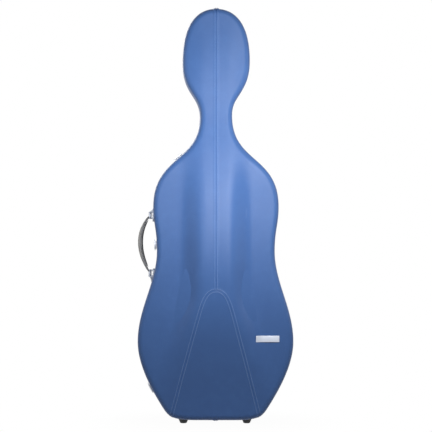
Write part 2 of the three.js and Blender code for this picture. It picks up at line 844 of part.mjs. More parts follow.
const handleEyes = [handleLowerEye, handleUpperEye];
const handleAxisOut = Math.max(...handleEyes.map((height) => edgeAt(height).x)) + handleClear;
const handleFrame = frameAt(
  new THREE.Vector3(-handleAxisOut, handleAxisBack, 0),
  new THREE.Vector3(-1, 0, 0),
  new THREE.Vector3(0, -1, 0),
  new THREE.Vector3(0, 0, 1),
);
const handleCurve = new THREE.CubicBezierCurve(
  point(0, handleUpperEye),
  point(handleBow, handleUpperBow),
  point(handleBow, handleLowerBow),
  point(0, handleLowerEye),
);

// A bar along part of the handle's curve. Its section is rounded, and grows from the ends to the middle.
function handleBar(start, end, sectionAt, steps, sides) {
  const chain = [];
  for (let i = 0; i <= steps; i++) {
    const t = start + ((end - start) * i) / steps;
    const place = handleCurve.getPoint(t);
    const along = handleCurve.getTangent(t);
    const { offset, halfThickness, halfWidth } = sectionAt(t);
    const loop = [];
    for (let k = 0; k < sides; k++) {
      const angle = (2 * Math.PI * (k + 0.5)) / sides;
      const squarer = (v) => Math.sign(v) * Math.sqrt(Math.abs(v));
      const u = offset + halfThickness * squarer(Math.cos(angle));
      loop.push([place.x - along.y * u, halfWidth * squarer(Math.sin(angle)), place.y + along.x * u]);
    }
    chain.push(loop);
  }
  return skinned(chain);
}

// How full the handle is along its length: nothing at the eyes, one in the middle.
const fullness = (t) => Math.sin(Math.PI * Math.min(Math.max(t, 0), 1));

function gripSection(t) {
  const full = fullness(t);
  return {
    offset: 0,
    halfThickness: (gripEndThickness + (gripThickness - gripEndThickness) * full) / 2,
    halfWidth: (gripEndWidth + (gripWidth - gripEndWidth) * full) / 2,
  };
}

function underSection(t) {
  const grip = gripSection(t);
  const full = fullness((t - underStart) / (1 - 2 * underStart));
  const halfThickness = (underThickness * (1 + Math.sqrt(full))) / 4;
  return {
    offset: -grip.halfThickness - gap - halfThickness,
    halfThickness,
    halfWidth: (underWidth * (1 + full)) / 4,
  };
}

// The room the bracket lugs need above and below each eye.
function lugRooms() {
  return [handleUpperEye, handleLowerEye].flatMap((height) =>
    [-1, 1].map((side) => {
      const near = height + side * handleEyeHalfHeight;
      return bar("z", handleEyeRadius + 2 * gap, near, near + side * overrun, [0, 0]);
    }),
  );
}

function handleGrip() {
  const eyes = [handleUpperEye, handleLowerEye].map((height) =>
    bar("z", handleEyeRadius, height - handleEyeHalfHeight, height + handleEyeHalfHeight, [0, 0]),
  );
  const bore = bar("z", handlePinRadius + gap, handleLowerEye - overrun, handleUpperEye + overrun, [0, 0]);
  const startShare = 0.015;
  const grip = handleBar(startShare, 1 - startShare, gripSection, 14, 10);
  return cut(join(grip, ...eyes), bore, ...lugRooms());
}

// A bracket: a plate on the shell and two lugs that hold the pin above and below the eye.
function handleBracket(height, upwards, downwards) {
  const wallOut = handleAxisOut - edgeAt(height).x;
  const plateFace = -wallOut + bracketPlate;
  const plate = slab(
    [
      [-bracketHalfWidth, height - bracketReach / 2],
      [-bracketHalfWidth / 2, height - downwards],
      [bracketHalfWidth / 2, height - downwards],
      [bracketHalfWidth, height - bracketReach / 2],
      [bracketHalfWidth, height + bracketReach / 2],
      [bracketHalfWidth / 2, height + upwards],
      [-bracketHalfWidth / 2, height + upwards],
      [-bracketHalfWidth, height + bracketReach / 2],
    ],
    "x",
    plateFace - overrun,
    plateFace,
  );
  const lugs = [-1, 1].flatMap((side) => {
    const near = height + side * (handleEyeHalfHeight + gap);
    const far = near + side * forkLugHeight;
    return [
      bar("z", handleEyeRadius, near, far, [0, 0]),
      block([plateFace - bracketPlate / 2, -forkRootHalfWidth, near], [0, forkRootHalfWidth, far]),
    ];
  });
  const bore = bar("z", handlePinRadius + gap, height - overrun, height + overrun, [0, 0]);
  return fitted(cut(join(plate, ...lugs), bore), handleFrame, bodyEnvelope);
}

addPiece("handle_grip", handleGrip(), gripLeather, handleFrame);
const underside = cut(handleBar(underStart, 1 - underStart, underSection, 14, 8), ...lugRooms());
addPiece("handle_underside", underside, gripRubber, handleFrame);
const handleEnds = {
  upper: { height: handleUpperEye, upwards: bracketReach, downwards: bracketReach },
  lower: { height: handleLowerEye, upwards: bracketReach / 1.4, downwards: bracketTail },
};
for (const [where, { height, upwards, downwards }] of Object.entries(handleEnds)) {
  const reach = handleEyeHalfHeight + gap + forkLugHeight;
  const pin = bar("z", handlePinRadius, height - reach, height + reach, [0, 0]);
  addPiece(`handle_bracket_${where}`, handleBracket(height, upwards, downwards), satinMetal, handleFrame);
  addPiece(`handle_pin_${where}`, pin, steel, handleFrame);
}

// Feet

// A turned rubber foot under the base, cut to the skin it stands against.
function baseFoot(acrossCase, depth, envelope) {
  const rise = baseHeight + overrun;
  const flare = footTopRadius - footBottomRadius;
  const foot = turned([
    [0, 0],
    [footBottomRadius - footEdge, 0],
    [footBottomRadius, footEdge],
    [footTopRadius, baseHeight],
    [footTopRadius, rise],
    [0, rise],
  ]);
  return cut(foot.translate(acrossCase, depth, 0), envelope);
}

function backFoot(acrossCase, height) {
  const root = backFootPlane - overrun;
  const foot = turned([
    [0, backFootPlane],
    [backFootTipRadius - footEdge, backFootPlane],
    [backFootTipRadius, backFootPlane - footEdge],
    [backFootRadius, bodyBoutDepth],
    [backFootRadius, root],
    [0, root],
  ]);
  return cut(foot.rotateX(-Math.PI / 2).translate(acrossCase, 0, height), bodyEnvelope);
}

for (const [side, sign] of [["left", -1], ["right", 1]]) {
  addPiece(`foot_lid_${side}`, baseFoot(sign * footSpacing, lidFootFront, lidEnvelope), rubber);
  addPiece(`foot_body_${side}`, baseFoot(sign * footSpacing, bodyFootBack, bodyEnvelope), rubber);
  for (const [where, height] of Object.entries(backFootHeights)) {
    addPiece(`foot_back_${where}_${side}`, backFoot(sign * backFootHalfSpacing, height), rubber);
  }
}

// Rings for the shoulder straps

// A round wire bent into a closed loop in the plane Y = 0.
function wireLoop(path, radius) {
  const count = path.length;
  const chain = path.map(([x, z], i) => {
    const [x0, z0] = path[(i + count - 1) % count];
    const [x1, z1] = path[(i + 1) % count];
    const before = point(x - x0, z - z0).normalize();
    const after = point(x1 - x, z1 - z).normalize();
    const side = point(before.y + after.y, -before.x - after.x).normalize();
    const stretch = 1 / Math.max(side.dot(point(after.y, -after.x)), 0.5);
    const loop = [];
    for (let k = 0; k < wireSides; k++) {
      const angle = (2 * Math.PI * k) / wireSides;
      const u = radius * Math.cos(angle) * stretch;
      loop.push([x + side.x * u, radius * Math.sin(angle), z + side.y * u]);
    }
    return loop;
  });
  const triangles = [];
  for (let r = 0; r < count; r++) {
    const next = (r + 1) % count;
    for (let i = 0; i < wireSides; i++) {
      const j = (i + 1) % wireSides;
      const [a, b, c, d] = [r * wireSides + i, r * wireSides + j, next * wireSides + i, next * wireSides + j];
      triangles.push(a, b, d, a, d, c);
    }
  }
  return tidy(chain.flat(2), triangles);
}

// A D shape: a straight bar at the top, a half round below it.
function strapRing() {
  const path = [
    [-ringHalfWidth, 0],
    [0, 0],
    [ringHalfWidth, 0],
  ];
  const steps = 9;
  for (let i = 0; i <= steps; i++) {
    const angle = (Math.PI * i) / steps;
    path.push([ringHalfWidth * Math.cos(angle), -ringWire - (ringDrop - ringWire) * Math.sin(angle)]);
  }
  return wireLoop(path, ringWire);
}

function ringPlate() {
  const plate = slab(
    [
      [-ringPlateHalfWidth, -ringPlateHalfHeight / 2],
      [-ringPlateHalfWidth * Math.SQRT1_2, -ringPlateHalfHeight],
      [ringPlateHalfWidth * Math.SQRT1_2, -ringPlateHalfHeight],
      [ringPlateHalfWidth, -ringPlateHalfHeight / 2],
      [ringPlateHalfWidth, ringPlateHalfHeight / 2],
      [ringPlateHalfWidth * Math.SQRT1_2, ringPlateHalfHeight],
      [-ringPlateHalfWidth * Math.SQRT1_2, ringPlateHalfHeight],
      [-ringPlateHalfWidth, ringPlateHalfHeight / 2],
    ],
    "y",
    -overrun,
    ringPlateThickness,
  );
  const reach = ringWire + gap + ringLoopWall;
  const loop = block([-ringLoopHalfWidth, 0, -reach], [ringLoopHalfWidth, ringStandOff, reach]);
  const round = bar("x", reach, -ringLoopHalfWidth, ringLoopHalfWidth, [ringStandOff, 0]);
  const bore = bar("x", ringWire + gap, -overrun, overrun, [ringStandOff, 0]);
  return cut(join(plate, loop, round), bore);
}

// A frame on the skin of a half: its Y leaves the skin at right angles, its X runs across.
function frameOnFace(half, x, z, inset) {
  const step = 1;
  const place = (dx, dz) => new THREE.Vector3(x + dx, half.side * (half.depth(x + dx, z + dz) - inset), z + dz);
  const alongX = place(step, 0).sub(place(-step, 0)).normalize();
  const alongZ = place(0, step).sub(place(0, -step));
  const facing = alongZ.cross(alongX).normalize();
  return frameAt(place(0, 0), alongX, facing, alongX.clone().cross(facing));
}

// The plates lie against the back, and the rings hang straight down from them.
for (const [where, { across: x, height }] of Object.entries(strapRings)) {
  const frame = frameOnFace(bodyHalf, x, height, 0);
  const acrossFace = new THREE.Vector3().setFromMatrixColumn(frame.matrixWorld, 0);
  const up = new THREE.Vector3(0, 0, 1);
  const pivot = frame.localToWorld(new THREE.Vector3(0, ringStandOff, 0));
  const hanging = frameAt(pivot, acrossFace, up.clone().cross(acrossFace), up);
  addPiece(`strap_plate_${where}`, fitted(ringPlate(), frame, bodyEnvelope), satinMetal, frame);
  addPiece(`strap_ring_${where}`, strapRing(), steel, hanging);
}

// Name plate, bent to the lid

const plateBlank = block(
  [plateAcross - plateHalfWidth, -lidBridgeDepth, plateHeight - plateHalfHeight],
  [plateAcross + plateHalfWidth, 0, plateHeight + plateHalfHeight],
);
const plateOuter = filled(lidHalf, -gap - plateThickness, skinSteps);
addPiece("name_plate", cut(overlapOf(plateBlank, plateOuter), lidEnvelope), satinMetal);

// Pads and holders inside

// A pad on the floor of the body, as deep as its thickness, with its front edges eased.
function suspensionPad(height) {
  const floorDepth = bodyBoutDepth + bodyBulge - cavityInset;
  const front = floorDepth - suspensionThickness;
  const pad = slab(
    [
      [front + suspensionEase, height - suspensionHalfHeight],
      [front, height - suspensionHalfHeight + suspensionEase],
      [front, height + suspensionHalfHeight - suspensionEase],
      [front + suspensionEase, height + suspensionHalfHeight],
      [floorDepth + overrun, height + suspensionHalfHeight],
      [floorDepth + overrun, height - suspensionHalfHeight],
    ],
    "x",
    -suspensionHalfWidth,
    suspensionHalfWidth,
  );
  return overlapOf(pad, bodyCavity);
}

function endBlock() {
  const blank = block(
    [-endBlockHalfWidth, endBlockStart, 0],
    [endBlockHalfWidth, bodyBoutDepth, endBlockTop],
  );
  const notch = block(
    [-endBlockNotch, -overrun, endBlockTop - 2 * endBlockNotch],
    [endBlockNotch, bodyBoutDepth / 2, endBlockTop + overrun],
  );
  return cut(overlapOf(blank, bodyCavity), notch);
}

function neckCradle() {
  const blank = block(
    [-headHalfWidth, cradleStart, cradleHeight - cradleHalfHeight],
    [headHalfWidth, bodyBoutDepth, cradleHeight + cradleHalfHeight],
  );
  const round = cradleNotchEnd - cradleNotchHalfWidth;
  const low = cradleHeight - cradleHalfHeight - overrun;
  const high = cradleHeight + cradleHalfHeight + overrun;
  const notch = block([-cradleNotchHalfWidth, -overrun, low], [cradleNotchHalfWidth, round, high]);
  const hollow = bar("z", cradleNotchHalfWidth, low, high, [0, round], largeRound);
  return cut(overlapOf(blank, bodyCavity), notch, hollow);
}

for (const [where, height] of Object.entries(suspensionHeights)) {
  addPiece(`suspension_${where}`, suspensionPad(height), velvet);
}
addPiece("end_block", endBlock(), velvet);
addPiece("neck_cradle", neckCradle(), velvet);
const neckStrap = block(
  [-strapHalfLength, cradleStart - gap - strapThickness, cradleHeight - strapHalfWidth],
  [strapHalfLength, cradleStart - gap, cradleHeight + strapHalfWidth],
);
addPiece("neck_strap", neckStrap, velvet);

// Bow holders in the lid: a pocket for the tip above, a bar that turns over the stick below

function bowPocket(acrossCase) {
  const lining = lidDepth(acrossCase, bowPocketHeight) - cavityInset;
  const [inside, outside] = [bowPocketHalfWidth - bowPocketWall, bowPocketHalfWidth];
  const front = -lining + bowPocketDepth;
  const top = bowPocketHeight + bowPocketHalfLength;
  const bottom = bowPocketHeight - bowPocketHalfLength;
  const blank = block([acrossCase - outside, -lidBridgeDepth, bottom], [acrossCase + outside, front, top]);
  const hollow = block(
    [acrossCase - inside, -lidBridgeDepth - overrun, bottom - overrun],
    [acrossCase + inside, front - bowPocketWall, top - bowPocketWall],
  );
  return cut(overlapOf(blank, lidCavity), hollow);
}

function bowClip() {
  const turn = bowBarHalfLength - bowBarHalfWidth;
  const [low, high] = [bowPostHeight, bowPostHeight + bowBarThickness];
  const post = bar("y", bowPostRadius, bowPostClear, high, [0, 0]);
  const plate = block([-bowBarHalfWidth, low, -turn], [bowBarHalfWidth, high, turn]);
  const ends = [-1, 1].map((side) => bar("y", bowBarHalfWidth, low, high, [0, side * turn]));
  return join(post, plate, ...ends);
}

for (const [side, sign] of [["left", -1], ["right", 1]]) {
  addPiece(`bow_pocket_${side}`, bowPocket(sign * bowAcross), velvet);
  const frame = frameOnFace(lidHalf, sign * bowAcross, bowClipHeight, cavityInset);
  addPiece(`bow_clip_${side}`, bowClip(), rimPlastic, frame);
}

export default caseModel;
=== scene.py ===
import json
import math
import bpy
import numpy as np
from mathutils import Matrix, Vector
from mathutils.bvhtree import BVHTree

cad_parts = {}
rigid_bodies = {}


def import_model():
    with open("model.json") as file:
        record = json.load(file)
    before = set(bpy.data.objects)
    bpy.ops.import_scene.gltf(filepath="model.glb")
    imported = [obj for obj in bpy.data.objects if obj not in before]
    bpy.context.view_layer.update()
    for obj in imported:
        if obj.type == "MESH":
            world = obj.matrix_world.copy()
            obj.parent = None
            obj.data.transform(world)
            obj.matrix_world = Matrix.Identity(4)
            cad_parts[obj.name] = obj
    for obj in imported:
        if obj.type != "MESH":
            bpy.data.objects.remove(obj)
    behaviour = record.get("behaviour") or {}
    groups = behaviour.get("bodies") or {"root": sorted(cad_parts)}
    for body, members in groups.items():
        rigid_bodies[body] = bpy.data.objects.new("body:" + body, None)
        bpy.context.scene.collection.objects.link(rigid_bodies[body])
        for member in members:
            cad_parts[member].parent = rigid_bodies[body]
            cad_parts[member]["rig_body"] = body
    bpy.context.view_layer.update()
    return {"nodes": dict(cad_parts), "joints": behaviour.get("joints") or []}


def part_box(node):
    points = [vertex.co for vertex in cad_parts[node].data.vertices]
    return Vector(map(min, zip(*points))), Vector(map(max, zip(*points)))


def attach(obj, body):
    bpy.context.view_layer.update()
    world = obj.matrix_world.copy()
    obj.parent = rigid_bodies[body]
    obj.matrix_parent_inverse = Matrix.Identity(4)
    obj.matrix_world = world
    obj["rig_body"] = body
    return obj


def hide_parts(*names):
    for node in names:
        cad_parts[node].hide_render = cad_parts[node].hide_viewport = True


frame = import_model()
scene = bpy.context.scene
mm = 0.001
toBack, toFront = Vector((0, 1, 0)), Vector((0, -1, 0))
bpy.ops.object.select_all(action="DESELECT")
print("frame loaded:", len(frame["nodes"]), "CAD nodes")


# camera, stage and lamps

view = {"across": 1.9, "height": 674.15, "distance": 6400, "framed": 1416.6, "sensor": 36, "around": -1.2,
        "roll": -0.17, "reach": 60}
around, roll = math.radians(view["around"]), math.radians(view["roll"])
bpy.ops.object.camera_add(
    location=((view["across"] + view["distance"] * math.sin(around)) * mm,
              -view["distance"] * math.cos(around) * mm, view["height"] * mm),
    rotation=(math.pi / 2, roll, around),
)
camera = bpy.context.object
camera.name = "camera"
camera.data.sensor_width = view["sensor"]
camera.data.lens = view["sensor"] * view["distance"] / view["framed"]
camera.data.clip_end = view["reach"]
scene.camera = camera


class Value:
    # a socket's value, so that shader maths reads as plain sums
    def __init__(self, shade, socket):
        self.shade = shade
        self.socket = socket

    def math(self, operation, *others):
        return self.shade.add("ShaderNodeMath", {"operation": operation}, [self, *others])

    def __add__(self, other):
        return self.math("ADD", other)

    def __sub__(self, other):
        return self.math("SUBTRACT", other)

    def __rsub__(self, other):
        return self.shade.add("ShaderNodeMath", {"operation": "SUBTRACT"}, [other, self])

    def __mul__(self, other):
        return self.math("MULTIPLY", other)

    __radd__ = __add__


class Shade:
    # one material and its nodes
    def __init__(self, name):
        self.material = bpy.data.materials.new(name)
        self.material.use_nodes = True
        self.tree = self.material.node_tree
        self.surface = self.tree.nodes["Principled BSDF"]
        self.output = self.tree.nodes["Material Output"]

    def add(self, kind, settings=None, inputs=None, out=0):
        node = self.tree.nodes.new(kind)
        for key, value in (settings or {}).items():
            setattr(node, key, value)
        pairs = inputs.items() if isinstance(inputs, dict) else enumerate(inputs or [])
        for key, value in pairs:
            self.join(value, node.inputs[key])
        return Value(self, node.outputs[out])

    def join(self, value, socket):
        if isinstance(value, Value):
            self.tree.links.new(value.socket, socket)
        else:
            socket.default_value = value

    def place(self):
        return self.add("ShaderNodeTexCoord", out="Object")

    def axes(self, vector=None):
        split = self.add("ShaderNodeSeparateXYZ", None, [vector or self.place()])
        return [Value(self, split.socket.node.outputs[i]) for i in range(3)]

    def noise(self, scale, detail=3.0, roughness=0.5, vector=None, distortion=0.0):
        inputs = {"Vector": vector or self.place(), "Scale": scale, "Detail": detail, "Roughness": roughness,
                  "Distortion": distortion}
        return self.add("ShaderNodeTexNoise", None, inputs)

    def voronoi(self, scale, feature, smoothness=None):
        inputs = {"Vector": self.place(), "Scale": scale}
        if smoothness is not None:
            inputs["Smoothness"] = smoothness
        return self.add("ShaderNodeTexVoronoi", {"feature": feature}, inputs)

    def fit(self, value, low, high, toLow=0.0, toHigh=1.0, smooth=False):
        kind = "SMOOTHSTEP" if smooth else "LINEAR"
        return self.add("ShaderNodeMapRange", {"interpolation_type": kind}, [value, low, high, toLow, toHigh])

    def mix(self, factor, a, b):
        # inputs 6 and 7 and output 2 of this node are its colours
        return self.add("ShaderNodeMix", {"data_type": "RGBA"}, {"Factor": factor, 6: a, 7: b}, 2)

    def bump(self, height, distance, strength):
        inputs = {"Height": height, "Distance": distance, "Strength": strength}
        return self.add("ShaderNodeBump", None, inputs)

    def set(self, **sockets):
        for key, value in sockets.items():
            self.join(value, self.surface.inputs[key.replace("_", " ")])
        return self.material


class WorldShade(Shade):
    # the world's nodes in place of a material's
    def __init__(self, world):
        world.use_nodes = True
        self.tree = world.node_tree
        self.tree.nodes.clear()


def colour(red, green, blue):
    # a screen colour from 0 to 255, as the linear value that a socket takes
    def linear(c):
        c = c / 255
        return c / 12.92 if c <= 0.04045 else ((c + 0.055) / 1.055) ** 2.4
    return (linear(red), linear(green), linear(blue), 1)


def seenRays(shade):
    # 1 for the eye, gloss and glass, and 0 for the light that falls on the case
    rays = shade.add("ShaderNodeLightPath").socket.node.outputs
    kinds = ("Camera", "Glossy", "Transmission")
    eye, gloss, glass = (Value(shade, rays["Is " + kind + " Ray"]) for kind in kinds)
    return eye.math("MAXIMUM", gloss).math("MAXIMUM", glass)


stage = {"size": 30, "drop": 0.0005, "whiteness": 0.975, "near": 0.12, "far": 0.5, "grey": (0.4, 0.4, 0.4, 1),
         "roughness": 0.9}
fullWhite = (1, 1, 1, 1)


def whiteStage():
    # seen straight on it is white, and it keeps a faint shadow near the case
    shade = Shade("stage_white")
    shade.set(Base_Color=stage["grey"], Roughness=stage["roughness"], Specular_IOR_Level=0.0)
    plain = Value(shade, shade.surface.outputs[0])
    glow = shade.add("ShaderNodeEmission", None, {"Color": fullWhite, "Strength": 1.0})
    x, y, _ = shade.axes()
    away = (x * x + y * y).math("SQRT")
    whiteness = shade.fit(away, stage["near"], stage["far"], stage["whiteness"], 1.0, smooth=True)
    mixed = shade.add("ShaderNodeMixShader", None, [seenRays(shade) * whiteness, plain, glow])
    shade.join(mixed, shade.output.inputs["Surface"])
    return shade.material


bpy.ops.mesh.primitive_plane_add(size=stage["size"], location=(0, 0, -stage["drop"]))
floor = bpy.context.object
floor.name = "floor"
floor.data.materials.append(whiteStage())

roomLight = {"strength": 0.04, "low": (0.35, (0.16, 0.17, 0.19, 1)), "middle": (0.5, (0.42, 0.43, 0.46, 1)),
             "high": (0.75, (1.0, 1.0, 1.0, 1))}


def studioWorld():
    # eye, gloss and glass see white, while the case is lit by a room that is brighter above than below
    scene.world = scene.world or bpy.data.worlds.new("studio")
    shade = WorldShade(scene.world)
    height = shade.axes(shade.add("ShaderNodeTexCoord", out="Generated"))[2]
    ramp = shade.add("ShaderNodeValToRGB", None, [shade.fit(height, -1, 1)])
    stops = ramp.socket.node.color_ramp.elements
    stops[0].position, stops[0].color = roomLight["low"]
    stops[1].position, stops[1].color = roomLight["high"]
    place, tone = roomLight["middle"]
    stops.new(place).color = tone
    room = shade.add("ShaderNodeBackground", None, [ramp, roomLight["strength"]])
    white = shade.add("ShaderNodeBackground", None, [fullWhite, 1])
    mixed = shade.add("ShaderNodeMixShader", None, [seenRays(shade), room, white])
    shade.join(mixed, shade.tree.nodes.new("ShaderNodeOutputWorld").inputs["Surface"])


studioWorld()

lamps = {
    "front": {"at": (0.3, -1.0, 1.4), "to": (0.0, 0.0, 1.2), "size": (0.3, 0.6), "watts": 5.0},
    "near": {"at": (0.1, -0.75, 0.9), "to": (0.0, 0.0, 0.9), "size": (0.3, 0.3), "watts": 3.4},
    "wing_left": {"at": (-0.32, -0.75, 0.8), "to": (-0.15, 0.0, 0.8), "size": (0.1, 0.4), "watts": 1.1},
    "wing_right": {"at": (0.32, -0.75, 0.8), "to": (0.15, 0.0, 0.8), "size": (0.1, 0.4), "watts": 1.3},
    "left": {"at": (-1.6, -0.6, 1.2), "to": (0.0, 0.0, 1.1), "size": (0.9, 1.0), "watts": 3.8},
    "right": {"at": (1.8, -0.4, 1.2), "to": (0.0, 0.0, 1.1), "size": (0.9, 1.0), "watts": 5.0},
    "back": {"at": (-1.6, 2.4, 2.0), "to": (0.0, 0.0, 0.7), "size": (1.6, 1.6), "watts": 40},
}
for name, lamp in lamps.items():
    start, target = Vector(lamp["at"]), Vector(lamp["to"])
    turn = (target - start).to_track_quat("-Z", "Y").to_euler()
    bpy.ops.object.light_add(type="AREA", location=start, rotation=turn)
    light = bpy.context.object
    light.name = "lamp_" + name
    light.data.shape = "RECTANGLE"
    light.data.size, light.data.size_y = lamp["size"]
    light.data.energy = lamp["watts"]
    light.visible_camera = False

scene.view_settings.view_transform = "Standard"
print("camera, stage and lamps set")


# shape of the case, as in the solids

caseShape = {
    "crown": 1348, "head": (109, 1177), "neck": (51.6, 1000), "upper": (203, 703),
    "waist": (190.6, 561), "lower": (252, 268), "corner": (167, 48.7), "base": (60, 13),
    "flankLean": math.radians(33),
    "lidCrest": [(13, 98), (436, 152), (703, 139), (862, 114), (1000, 90), (1177, 88), (1348, 70)],
    "lidEdge": [(13, 98), (268, 102), (703, 102), (862, 102.6), (1000, 81), (1177, 79.2), (1348, 70)],
    "bodyBack": [(13, 112), (268, 130), (703, 130), (862, 113), (1000, 92), (1177, 90), (1348, 72)],
    "bodyBulge": 8, "lidRound": 18, "bodyRound": 40,
    "ridgeHalf": 34, "ridgeFlank": 100, "flankShift": 7, "blend": 14, "start": 30, "bridge": 436,
    "seamSpread": 0.2374, "seamRound": 236,
    "rimSeat": 6.3, "grooveDepth": 1.5, "grooveEnd": 22, "shellWall": 5, "liningWall": 8, "gap": 0.3,
}
# how far under the skin the lining's inner side lies
liningInset = caseShape["shellWall"] + caseShape["gap"] + caseShape["liningWall"]


def evenly(low, high, steps):
    return [low + (high - low) * i / steps for i in range(steps + 1)]


def circle(sides):
    return [2 * math.pi * k / sides for k in range(sides)]


def superPoint(angle, half, power):
    # a rounded box section, between an ellipse and a rectangle
    c, s = math.cos(angle), math.sin(angle)
    return (half[0] * math.copysign(abs(c) ** power, c), half[1] * math.copysign(abs(s) ** power, s))


def frameOf(xAxis, yAxis, zAxis, origin):
    matrix = Matrix((xAxis, yAxis, zAxis)).transposed().to_4x4()
    matrix.translation = origin
    return matrix


def bezier(points, t):
    s = 1 - t
    shares = (s ** 3, 3 * s * s * t, 3 * s * t * t, t ** 3)
    return tuple(sum(w * p[i] for w, p in zip(shares, points)) for i in (0, 1))


def bezierSlope(points, t):
    s = 1 - t
    steps = [(b[0] - a[0], b[1] - a[1]) for a, b in zip(points, points[1:])]
    shares = (3 * s * s, 6 * s * t, 3 * t * t)
    return tuple(sum(w * p[i] for w, p in zip(shares, steps)) for i in (0, 1))


# how far the two inner points of each curve of the outline are pulled along it, and the curves' steps
outlinePulls = {"base": (0.7, 0.29), "corner": (0.616, 0.182), "lower": (0.367, 0.345),
                "waist": (0.486, 0.392), "upper": (0.574, 0.527), "neck": (0.398, 0.584),
                "head": (0.836, 0.42)}
outlineSteps = {"straight": 6, "base": 18, "corner": 30, "lower": 34, "waist": 16, "upper": 42, "neck": 24,
                "head": 34}


def outlineCurves():
    # the right-hand side from the middle of the base to the crown
    c = caseShape
    corner, base, lower, head, crown = c["corner"], c["base"], c["lower"], c["head"], c["crown"]
    leanX, leanZ = math.sin(c["flankLean"]), math.cos(c["flankLean"])
    run, rise = corner[0] - base[0], lower[1] - corner[1]

    def upright(name, a, b):
        near, far = outlinePulls[name]
        return [a, (a[0], a[1] + near * (b[1] - a[1])), (b[0], b[1] - far * (b[1] - a[1])), b]

    baseNear, baseFar = outlinePulls["base"]
    cornerNear, cornerFar = outlinePulls["corner"]
    headNear, headFar = outlinePulls["head"]
    curves = {
        "straight": [(0, base[1]), (base[0] / 3, base[1]), (base[0] / 1.5, base[1]), base],
        "base": [base, (base[0] + baseNear * run, base[1]),
                 (corner[0] - baseFar * run * leanX, corner[1] - baseFar * run * leanZ), corner],
        "corner": [corner, (corner[0] + cornerNear * rise * leanX, corner[1] + cornerNear * rise * leanZ),
                   (lower[0], lower[1] - cornerFar * rise), lower],
        "lower": upright("lower", lower, c["waist"]),
        "waist": upright("waist", c["waist"], c["upper"]),
        "upper": upright("upper", c["upper"], c["neck"]),
        "neck": upright("neck", c["neck"], head),
        "head": [head, (head[0], head[1] + headNear * (crown - head[1])), (headFar * head[0], crown),
                 (0, crown)],
    }
    return [(points, outlineSteps[name]) for name, points in curves.items()]


def halfOutline(fineness=1.0):
    # points up the right-hand side: across, height, and the direction that faces out
    found = []
    for points, steps in outlineCurves():
        count = max(int(steps * fineness), 1)
        for i in range(count):
            x, z = bezier(points, i / count)
            dx, dz = bezierSlope(points, i / count)
            length = math.hypot(dx, dz)
            found.append((x, z, dz / length, -dx / length))
    found.append((0.0, caseShape["crown"], 0.0, 1.0))
    found[0] = (0.0, caseShape["base"][1], 0.0, -1.0)
    return found


def wholeOutline(fineness=1.0):
    right = halfOutline(fineness)
    left = [(-x, z, -outX, outZ) for x, z, outX, outZ in reversed(right[1:-1])]
    return right + left


def smoothThrough(stations, height):
    # the value at a height on a smooth curve through stations of height and value
    last = len(stations) - 1
    z = min(max(height, stations[0][0]), stations[last][0])
    k = 0
    while k < last - 1 and z > stations[k + 1][0]:
        k += 1

    def slope(i):
        if i in (0, last):
            return 0
        return (stations[i + 1][1] - stations[i - 1][1]) / (stations[i + 1][0] - stations[i - 1][0])

    span = stations[k + 1][0] - stations[k][0]
    t = (z - stations[k][0]) / span
    rise = t * t * (3 - 2 * t)
    start, end = t * (1 - t) * (1 - t), t * t * (t - 1)
    low, high = stations[k][1], stations[k + 1][1]
    return low * (1 - rise) + high * rise + span * (slope(k) * start + slope(k + 1) * end)


def ridgeEdge(z):
    # half the width of the ridge's top: even above the bridge, and spreading below it with no fold between
    below = caseShape["bridge"] - z
    below = (below + math.hypot(below, caseShape["start"])) / 2
    spread = caseShape["seamSpread"] * math.sqrt(below * (below + 2 * caseShape["seamRound"]))
    even = caseShape["ridgeHalf"]
    return (even + spread + math.hypot(even - spread, caseShape["blend"])) / 2 - caseShape["flankShift"]


def lidDepth(x, z):
    crest, edge = smoothThrough(caseShape["lidCrest"], z), smoothThrough(caseShape["lidEdge"], z)
    t = min(max((abs(x) - ridgeEdge(z)) / caseShape["ridgeFlank"], 0), 1)
    return crest + (edge - crest) * t * t * t * (10 - 15 * t + 6 * t * t)


def bodyDepth(x, z):
    across = x / caseShape["lower"][0]
    return smoothThrough(caseShape["bodyBack"], z) + caseShape["bodyBulge"] * (1 - across * across)


lidHalf = {"side": -1, "depth": lidDepth, "round": caseShape["lidRound"], "body": "lid"}
bodyHalf = {"side": 1, "depth": bodyDepth, "round": caseShape["bodyRound"], "body": "case_body"}


def middleHeight(z):
    # the height in the middle of the face towards which a ring draws in
    clear = 2 * caseShape["bodyRound"]
    return min(max(z, caseShape["base"][1] + clear), caseShape["crown"] - clear)


def ring(half, outline, inset, step):
    # one ring of points on a surface that lies a given inset under the skin. A step is a distance out from
    # the parting, or a turn over the roundover in degrees, or a share of the way in to the middle of the face
    radius = half["round"] - inset
    points = []
    for x0, z0, outX, outZ in outline:
        if "out" in step:
            off = inset + step.get("shy", 0)
            points.append(Vector((x0 - outX * off, half["side"] * step["out"], z0 - outZ * off)) * mm)
            continue
        turn = math.radians(step.get("turn", 90))
        off = inset + radius * (1 - math.cos(turn))
        px, pz = x0 - outX * off, z0 - outZ * off
        share = step.get("share", 0)
        x, z = px * (1 - share), pz + (middleHeight(z0) - pz) * share
        depth = half["depth"](x, z) - inset - radius * (1 - math.sin(turn))
        points.append(Vector((x, half["side"] * depth, z)) * mm)
    return points


def rings(half, outline, inset, steps):
    return [ring(half, outline, inset, step) for step in steps]


def only(piece):
    bpy.ops.object.select_all(action="DESELECT")
    bpy.context.view_layer.objects.active = piece
    piece.select_set(True)


def settle(piece, material, body, replaced=(), angle=35):
    # a finished piece: its place in its mesh, its faces smooth up to an angle, and riding on its body
    only(piece)
    bpy.ops.object.transform_apply(location=True, rotation=True, scale=True)
    bpy.ops.object.shade_smooth_by_angle(angle=math.radians(angle))
    piece.data.materials.clear()
    piece.data.materials.append(material)
    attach(piece, body)
    if replaced:
        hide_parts(*replaced)
    return piece


